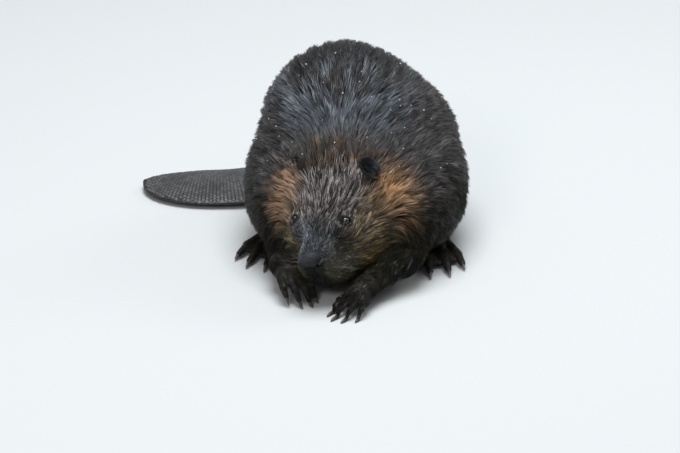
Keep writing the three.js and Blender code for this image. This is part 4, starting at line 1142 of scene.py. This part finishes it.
def scales(rng):
    """Flat six-sided scales in rows over the tail's blade, above and below."""
    seg = np.linalg.norm(np.diff(TAIL_POINTS, axis=0), axis=1)
    arc = np.concatenate([[0], np.cumsum(seg)])
    full = arc[-1]
    row = 4.3
    cells = []
    a0 = np.interp(0.30, np.linspace(0, 1, TAIL_STEPS + 1), arc)
    j = 0
    while a0 + j * row < full - 1.0:
        a = a0 + j * row
        s = np.interp(a, arc, np.linspace(0, 1, TAIL_STEPS + 1))
        w = float(tail_wide(np.array([s]))[0])
        pitch = 5.9
        k = int(w / pitch) + 1
        for i in range(-k, k + 1):
            x = (i + 0.5 * (j % 2)) * pitch
            if abs(x) < w - 1.8:
                cells.append((s, a, x, pitch))
        j += 1
    cells = np.array(cells)
    s, x = cells[:, 0], cells[:, 2]
    n = len(s)
    mix_ = np.clip((s - 0.30) / 0.07, 0, 1)
    ang = np.radians([90, 150, 210, 270, 330, 30])
    h = Heap()
    for top in (1, -1):
        c, d, side = tail_frames(s)
        size = (0.50 + 0.50 * mix_) * rng.uniform(0.9, 1.04, n)
        tilt = rng.normal(0, 0.05, n)
        rows = []
        for rad, lift in ((1.0, -0.55), (0.93, 0.22), (0.55, 0.50)):
            for a_ in ang:
                ox = np.cos(a_ + tilt) * 3.30 * rad * size
                oy = np.sin(a_ + tilt) * 2.86 * rad * size
                v = c + side * (x + ox)[:, None] + d * oy[:, None]
                rows.append((v, lift + (0.10 * rad * -math.sin(a_) if lift > 0 else 0)))
        v0 = c + side * x[:, None]
        rows.append((v0, 0.54))
        rows.append((v0, -0.55))
        verts = np.stack([r[0] for r in rows], 1)
        lift = np.array([r[1] for r in rows])
        flat = verts.reshape(-1, 3).copy()
        m = len(rows)
        # drop each point onto the blade's own face
        flat[:, 2] = np.repeat(c[:, 2], m) + top * 4.0
        for _ in range(4):
            f, g = slope(outer_field, flat, 0.6)
            flat[:, 2] -= np.clip(f / np.where(np.abs(g[:, 2]) < 0.25, 0.25 * top, g[:, 2]), -3, 3)
        f, g = slope(outer_field, flat, 0.6)
        ok = (np.abs(f) < 0.4).reshape(n, m).all(1)
        flat += g * (np.tile(lift, n) - 0.40)[:, None]
        flat = flat.reshape(n, m, 3)
        ok &= flat[:, :, 2].min(1) > 0.2
        tri = []
        for q in range(6):
            r = (q + 1) % 6
            tri += [[q, r, 6 + r], [q, 6 + r, 6 + q], [6 + q, 6 + r, 12 + r], [6 + q, 12 + r, 12 + q], [12 + q, 12 + r, 18], [q, 19, r]]
        tri = np.array(tri)
        if top < 0:
            tri = tri[:, ::-1]
        tone = rgb(74, 72, 72) * rng.uniform(0.65, 1.25, n)[:, None] * (1 + 0.12 * wave(c + side * x[:, None], 40, 31))[:, None]
        # painted shade and highlight: each scale darker at its sunk rim and underside, lighter on its raised middle
        ring = np.array([0.35] * 6 + [0.8] * 6 + [1.15] * 6 + [1.2, 0.3])
        for i in np.nonzero(ok)[0]:
            h.add(flat[i], tri, tone[i] * ring[:, None])
    say("scales", h.n // 20)
    return h.solid("tail_scales", smooth=False)


def eyeball(side):
    """The eye with its iris and pupil drawn into the point colours, the pupil round and the front of the eye bulging a
    little.
    """
    c = EYE_AT * [1, side, 1]
    along = GAZE * [1, side, 1]
    a = np.cross([0, 0, 1.0], along)
    a /= np.linalg.norm(a)
    b = np.cross(along, a)
    rings, segs = 40, 64
    th = np.concatenate([np.linspace(0, 0.95, 24), np.linspace(0.95, math.pi, rings - 23)[1:]])
    v, col, f = [], [], []
    rng = np.random.default_rng(40 + side)
    streak = rng.uniform(0.7, 1.3, segs)
    for i, t_ in enumerate(th):
        for j in range(segs):
            ph = 2 * math.pi * j / segs
            bulge = 0.28 * math.exp(-(t_ / 0.55) ** 2)
            r = EYE_R - 0.12 + bulge
            v.append(c + (along * math.cos(t_) + (a * math.cos(ph) + b * math.sin(ph)) * math.sin(t_)) * r)
            if t_ < 0.36:
                w = np.array([0.004, 0.004, 0.005])
            elif t_ < 0.74:
                w = rgb(30, 21, 16) * streak[j] * (1 - 0.5 * (t_ - 0.36) / 0.38)
            else:
                w = rgb(20, 16, 15)
            col.append(w)
    for i in range(len(th) - 1):
        for j in range(segs):
            p0, p1 = i * segs + j, i * segs + (j + 1) % segs
            q0, q1 = p0 + segs, p1 + segs
            if i > 0:
                f.append([p0, q1, p1])
            if i < len(th) - 2:
                f.append([p0, q0, q1])
            else:
                pass
    v, col, f = np.array(v), np.array(col), np.array(f)
    # the poles are single points
    first = np.arange(segs)
    last = (len(th) - 1) * segs + np.arange(segs)
    swap = np.arange(len(v))
    swap[first] = 0
    swap[last] = last[0]
    base = (len(th) - 2) * segs
    f = swap[f]
    f = f[(f[:, 0] != f[:, 1]) & (f[:, 1] != f[:, 2]) & (f[:, 2] != f[:, 0])]
    used = np.unique(f)
    back = np.full(len(v), -1)
    back[used] = np.arange(len(used))
    return v[used] @ HEAD_AXES + HEAD_AT, back[f], col[used]


def eyes():
    out = []
    for name, side in (("eye_ball_left", 1), ("eye_ball_right", -1)):
        v, f, c = eyeball(side)
        a, b, d = v[f[:, 0]], v[f[:, 1]], v[f[:, 2]]
        mid = v.mean(0)
        if np.einsum("ij,ij->i", np.cross(b - a, d - a), a - mid).sum() < 0:
            f = f[:, ::-1]
        out.append(tinted(solid(name, v, f), c))
    return out


def drops(T, rng):
    """Beads of water caught on the back, coloured near white as painted glints."""
    tips = T["course"][:, 3]
    where = np.nonzero((T["kind"] % 3 == 0) & (tips[:, 2] > 120) & (tips[:, 1] > -110))[0]
    pick = rng.choice(where, 85, replace=False)
    h = Heap()
    bm = bmesh.new()
    bmesh.ops.create_icosphere(bm, subdivisions=2, radius=1.0)
    v0 = np.array([v.co[:] for v in bm.verts])
    f0 = np.array([[v.index for v in f.verts] for f in bm.faces])
    bm.free()
    for i in pick:
        r = rng.uniform(0.42, 1.0)
        n = T["normal"][i]
        v = v0 * r
        v = v - np.outer(v @ n, n) * 0.25
        v = v * (1 + 0.08 * wave(v0 + i, 1.7, 3)[:, None])
        # painted highlight: the clear water is coloured near white for the glints it catches
        h.add(v + tips[i] + n * r * 0.4, f0, rgb(232, 238, 244))
    return h.solid("water_beads")


# ------------------------------------------------------------------ materials
def material(name):
    m = bpy.data.materials.new(name)
    m.use_nodes = True
    nt = m.node_tree
    b = nt.nodes["Principled BSDF"]
    return m, nt, b


def node(nt, kind, **inputs):
    n = nt.nodes.new(kind)
    for k, v in inputs.items():
        if k in n.inputs:
            n.inputs[k].default_value = v
        elif hasattr(n, k):
            setattr(n, k, v)
    return n


def noise(nt, vec, scale, detail=4.0, rough=0.55):
    n = nt.nodes.new("ShaderNodeTexNoise")
    n.inputs["Scale"].default_value = scale
    n.inputs["Detail"].default_value = detail
    n.inputs["Roughness"].default_value = rough
    nt.links.new(vec, n.inputs["Vector"])
    return n.outputs["Fac"]


def cells(nt, vec, scale, feature="DISTANCE_TO_EDGE"):
    n = nt.nodes.new("ShaderNodeTexVoronoi")
    n.feature = feature
    n.inputs["Scale"].default_value = scale
    nt.links.new(vec, n.inputs["Vector"])
    return n.outputs["Distance"]


def remap(nt, fac, a, b, c, d, smooth=False):
    n = nt.nodes.new("ShaderNodeMapRange")
    n.interpolation_type = "SMOOTHSTEP" if smooth else "LINEAR"
    for k, v in zip(("From Min", "From Max", "To Min", "To Max"), (a, b, c, d)):
        n.inputs[k].default_value = v
    nt.links.new(fac, n.inputs["Value"])
    return n.outputs["Result"]


def times(nt, a, b):
    n = nt.nodes.new("ShaderNodeMath")
    n.operation = "MULTIPLY"
    nt.links.new(a, n.inputs[0])
    if isinstance(b, (int, float)):
        n.inputs[1].default_value = b
    else:
        nt.links.new(b, n.inputs[1])
    return n.outputs[0]


def plus(nt, a, b):
    n = nt.nodes.new("ShaderNodeMath")
    n.operation = "ADD"
    nt.links.new(a, n.inputs[0])
    nt.links.new(b, n.inputs[1])
    return n.outputs[0]


def shaded(nt, colour, fac):
    """A colour scaled by a number."""
    n = nt.nodes.new("ShaderNodeVectorMath")
    n.operation = "SCALE"
    nt.links.new(colour, n.inputs[0])
    nt.links.new(fac, n.inputs["Scale"])
    return n.outputs[0]


def bumped(nt, b, height, strength, distance):
    n = nt.nodes.new("ShaderNodeBump")
    n.inputs["Strength"].default_value = strength
    n.inputs["Distance"].default_value = distance
    nt.links.new(height, n.inputs["Height"])
    nt.links.new(n.outputs["Normal"], b.inputs["Normal"])


def attribute(nt, name):
    n = nt.nodes.new("ShaderNodeAttribute")
    n.attribute_name = name
    return n


def place(nt):
    return nt.nodes.new("ShaderNodeTexCoord").outputs["Object"]


def fur_material(name, rough, gloss):
    m, nt, b = material(name)
    vec = place(nt)
    tint = attribute(nt, "tint").outputs["Color"]
    fine = noise(nt, vec, 1500, 3)
    slow = noise(nt, vec, 70, 3)
    k = times(nt, remap(nt, fine, 0.25, 0.75, 0.72, 1.24), remap(nt, slow, 0.3, 0.7, 0.86, 1.14))
    nt.links.new(shaded(nt, tint, k), b.inputs["Base Color"])
    nt.links.new(remap(nt, noise(nt, vec, 500, 2), 0.3, 0.7, rough - 0.07, rough + 0.10), b.inputs["Roughness"])
    b.inputs["Specular IOR Level"].default_value = gloss
    bumped(nt, b, fine, 0.35, 0.0003)
    return m


def skin_material():
    """Under-fur where the coat grows, pebbled hide on the nose, paws and tail."""
    m, nt, b = material("hide")
    vec = place(nt)
    tint = attribute(nt, "tint").outputs["Color"]
    sep = nt.nodes.new("ShaderNodeSeparateColor")
    nt.links.new(attribute(nt, "kind").outputs["Color"], sep.inputs[0])
    nose, paw, tail = sep.outputs
    fine = noise(nt, vec, 900, 4, 0.65)
    slow = noise(nt, vec, 90, 3)
    pebble = remap(nt, cells(nt, vec, 700), 0.0, 0.42, 0.35, 1.0, True)
    crease = remap(nt, cells(nt, vec, 520), 0.01, 0.22, 0.0, 1.0, True)
    plate = remap(nt, cells(nt, vec, 230), 0.01, 0.16, 0.0, 1.0, True)
    hide = plus(nt, plus(nt, times(nt, pebble, nose), times(nt, crease, paw)), times(nt, plate, tail))
    bare = plus(nt, plus(nt, nose, paw), tail)
    # painted shade: the bare hide is darker in the creases between its pebbles, folds and plates
    dark = remap(nt, hide, 0.0, 1.0, 0.62, 1.08)
    k = times(nt, remap(nt, fine, 0.25, 0.75, 0.70, 1.28), remap(nt, slow, 0.3, 0.7, 0.85, 1.15))
    mixn = nt.nodes.new("ShaderNodeMix")
    mixn.data_type = "FLOAT"
    nt.links.new(bare, mixn.inputs[0])
    mixn.inputs[2].default_value = 1.0
    nt.links.new(dark, mixn.inputs[3])
    nt.links.new(shaded(nt, tint, times(nt, k, mixn.outputs[0])), b.inputs["Base Color"])
    r = nt.nodes.new("ShaderNodeMix")
    r.data_type = "FLOAT"
    nt.links.new(bare, r.inputs[0])
    r.inputs[2].default_value = 0.8
    nt.links.new(remap(nt, fine, 0.3, 0.7, 0.24, 0.34), r.inputs[3])
    nt.links.new(r.outputs[0], b.inputs["Roughness"])
    b.inputs["Specular IOR Level"].default_value = 0.26
    bumped(nt, b, plus(nt, times(nt, hide, 1.0), times(nt, fine, 0.2)), 0.4, 0.0005)
    return m


def simple_material(name, rough, scale, bump, coat=0.0, low=0.8, high=1.2, streak=None):
    m, nt, b = material(name)
    vec = place(nt)
    tint = attribute(nt, "tint").outputs["Color"]
    n1 = noise(nt, vec, scale, 4, 0.6)
    n2 = noise(nt, vec, scale * 0.22, 3)
    k = times(nt, remap(nt, n1, 0.3, 0.7, low, high), remap(nt, n2, 0.3, 0.7, 0.9, 1.1))
    nt.links.new(shaded(nt, tint, k), b.inputs["Base Color"])
    nt.links.new(remap(nt, n2, 0.3, 0.7, max(rough - 0.08, 0.02), rough + 0.08), b.inputs["Roughness"])
    b.inputs["Coat Weight"].default_value = coat
    b.inputs["Coat Roughness"].default_value = 0.03
    if bump:
        bumped(nt, b, n1, bump, 0.0003)
    return m


# ------------------------------------------------------------------ build
rng = np.random.default_rng(71)
p, t = skin_mesh()
uv = unwrapped(p, t)
say("unwrapped")
skin = solid("skin", p, t)
mapped(skin, uv)
P = Parts(p)
W = weights(P)
_, _, _, EYED = coat_sizes(P, W)
bare = bareness(P, EYED)
under = tones(P, W)
q = P.q
nose_pad = ramp(-ball(q, [-4.5, 0, -12], [12, 16.5, 14.5]), -0.8, 0.8)
paw = (W[:, PAW_L] + W[:, PAW_R] + W[:, FOOT_]).clip(0, 1)
tail = ramp(P.tail_t, 0.3, 0.36) * ramp(-P.tail, -9, -4)
lid = ramp(-EYED, -8.8, -7.2)
furred = under * 0.24 * (1 + 0.2 * wave(p, 9, 51))[:, None]
tone = mixed(furred, np.tile(rgb(*TONE["ear_skin"]), (len(p), 1)), ramp(-P.ears, -5, -0.5) * W[:, EARS_])
# painted shade: the hollow of each ear is darkened to near black
ear_hollow_shade = np.zeros(len(p))
for k in (1, -1):
    inside = -ball(into(q, EAR_AT * [1, k, 1], ear_axes(k)), EAR_CUP, EAR_HOLLOW)
    ear_hollow_shade = np.maximum(ear_hollow_shade, ramp(inside, -1.6, -0.7) * (1 - 0.7 * ramp(inside, 0.6, 1.8)))
tone = mixed(tone, rgb(9, 9, 10)[None] * (1 + 1.2 * wave(p, 5, 52).clip(-0.8, 1.6))[:, None], ear_hollow_shade * W[:, EARS_])
# painted sheen: a bluish grey patch low in the front of each ear for light caught by the wet skin
for k in (1, -1):
    r = into(q, EAR_AT * [1, k, 1], ear_axes(k)).astype(float)
    ear_sheen = patch(r, [3, k * 8, 4], [8, 5.0, 9]) * W[:, EARS_] * (r[:, 0] > -2.5)
    tone = mixed(tone, np.tile(rgb(92, 98, 112), (len(p), 1)), np.clip(ear_sheen, 0, 1) * 0.85)
# the nose pad is black, its top painted a lighter bluish grey as a highlight
pad_top_highlight = ramp(q[:, 2], -10, 0)[:, None]
tone = mixed(tone, rgb(8, 8, 8) * (1 - pad_top_highlight) + rgb(56, 59, 65) * pad_top_highlight, nose_pad)
tone = mixed(tone, np.tile(rgb(50, 45, 42), (len(p), 1)), paw * 0.8)
tone = mixed(tone, np.tile(rgb(52, 50, 50), (len(p), 1)), tail)
tone = mixed(tone, np.tile(rgb(17, 14, 13), (len(p), 1)), lid)
# near black in and around the nostrils and under the pad: dark skin, with painted shade in the nostrils and beneath the
# pad
nostril_skin_and_shade = np.zeros(len(p))
for k in (1, -1):
    nostril_skin_and_shade = np.maximum(nostril_skin_and_shade, ramp(-ball(q, [-1.5, k * 11.5, -15.0], [9.5, 4.5, 5.4], axes_of((k * 40, 0, 0))), -1.5, 1.5))
nostril_skin_and_shade = np.maximum(nostril_skin_and_shade, ramp(-q[:, 2], 20, 24))
tone = mixed(tone, np.tile(rgb(7, 7, 7), (len(p), 1)), nostril_skin_and_shade * ramp(q[:, 0], -22, -12) * ramp(-np.abs(q[:, 1]), -20, -14))
tinted(skin, np.clip(tone, 0.001, 1))
tinted(skin, np.stack([nose_pad, paw * (1 - tail), tail], 1), "kind")
skin.data.materials.append(skin_material())
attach(skin, "root")
say("skin made")

T = grown(p, t, uv, rng, 1.0)
KINDS = (("coat", "coat", 0.38, 0.50), ("face_coat", "face_coat", 0.38, 0.36), ("limb_coat", "limb_coat", 0.38, 0.18), ("side_coat", "coat", 0.42, 0.18))
for kind, (name, slot, rough, gloss) in enumerate(KINDS):
    mine = np.nonzero(T["kind"] == kind)[0]
    pieces = max(1, math.ceil(len(mine) * len(TUFT) / 190000))
    mat = fur_material(name + "_hair", rough, gloss)
    for i in range(pieces):
        o = tuft_mesh("%s_%d" % (name, i + 1), T, mine[i::pieces])
        o.data.materials.append(mat)
        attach(o, "root")
    say(name, len(mine), "tufts in", pieces, "pieces")

for o in eyes():
    o.data.materials.append(bpy.data.materials.get("eye_wet") or simple_material("eye_wet", 0.09, 900, 0.0, 0.4, 0.85, 1.15))
    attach(o, "root")
    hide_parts(o.name.replace("ball_", ""))

o = claws()
o.data.materials.append(simple_material("claw_horn", 0.34, 700, 0.25))
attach(o, "root")
o = whiskers(rng)
o.data.materials.append(simple_material("whisker", 0.35, 500, 0.0))
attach(o, "root")
o = scales(rng)
o.data.materials.append(simple_material("tail_scale", 0.38, 800, 0.5))
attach(o, "root")
o = drops(T, rng)
o.data.materials.append(simple_material("water", 0.10, 400, 0.0, 1.0, 0.95, 1.05))
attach(o, "root")
say("small pieces")

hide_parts(*[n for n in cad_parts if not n.startswith("eye_")])

# ------------------------------------------------------------------ floor, light, camera
scene = bpy.context.scene
bpy.ops.mesh.primitive_grid_add(x_subdivisions=8, y_subdivisions=8, size=12.0, location=(0, 0, 0))
floor = bpy.context.object
floor.name = "floor"
m, nt, b = material("floor")
b.inputs["Base Color"].default_value = (0.60, 0.60, 0.59, 1)
b.inputs["Roughness"].default_value = 0.85
floor.data.materials.append(m)

world = bpy.data.worlds.new("studio")
scene.world = world
world.use_nodes = True
world.node_tree.nodes["Background"].inputs[0].default_value = (0.86, 0.93, 1.0, 1)
world.node_tree.nodes["Background"].inputs[1].default_value = 0.32


def lamp(name, at, size, power, colour):
    data = bpy.data.lights.new(name, "AREA")
    data.shape = "DISK"
    data.size = size
    data.energy = power
    data.color = colour
    o = bpy.data.objects.new(name, data)
    o.location = at
    o.rotation_euler = (Vector((0, 0, 0.1)) - Vector(at)).to_track_quat("-Z", "Y").to_euler()
    scene.collection.objects.link(o)


lamp("sky", (0.1, 0.1, 3.2), 2.4, 128, (0.90, 0.96, 1.0))
lamp("front", (-0.8, -2.6, 2.0), 1.2, 24, (1.0, 0.98, 0.95))
lamp("rim", (2.2, 1.4, 1.8), 1.2, 14, (1.0, 1.0, 1.0))

AZ, EL, FAR = math.radians(6), math.radians(24), 5.2
right = Vector((math.cos(AZ), math.sin(AZ), 0))
up = Vector((-math.sin(AZ) * math.sin(EL), math.cos(AZ) * math.sin(EL), math.cos(EL)))
out = Vector((math.sin(AZ) * math.cos(EL), -math.cos(AZ) * math.cos(EL), math.sin(EL)))
cam = bpy.data.cameras.new("camera")
cam.sensor_width = 36.0
cam.lens = 0.765 * 1000 * FAR * 36.0 / 680.0
cam.clip_end = 60
eye = bpy.data.objects.new("camera", cam)
eye.location = right * -0.00915 + up * 0.0255 + out * FAR
eye.rotation_euler = (-out).to_track_quat("-Z", "Y").to_euler()
scene.collection.objects.link(eye)
scene.camera = eye
scene.view_settings.view_transform = "Standard"

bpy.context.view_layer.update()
say("done")
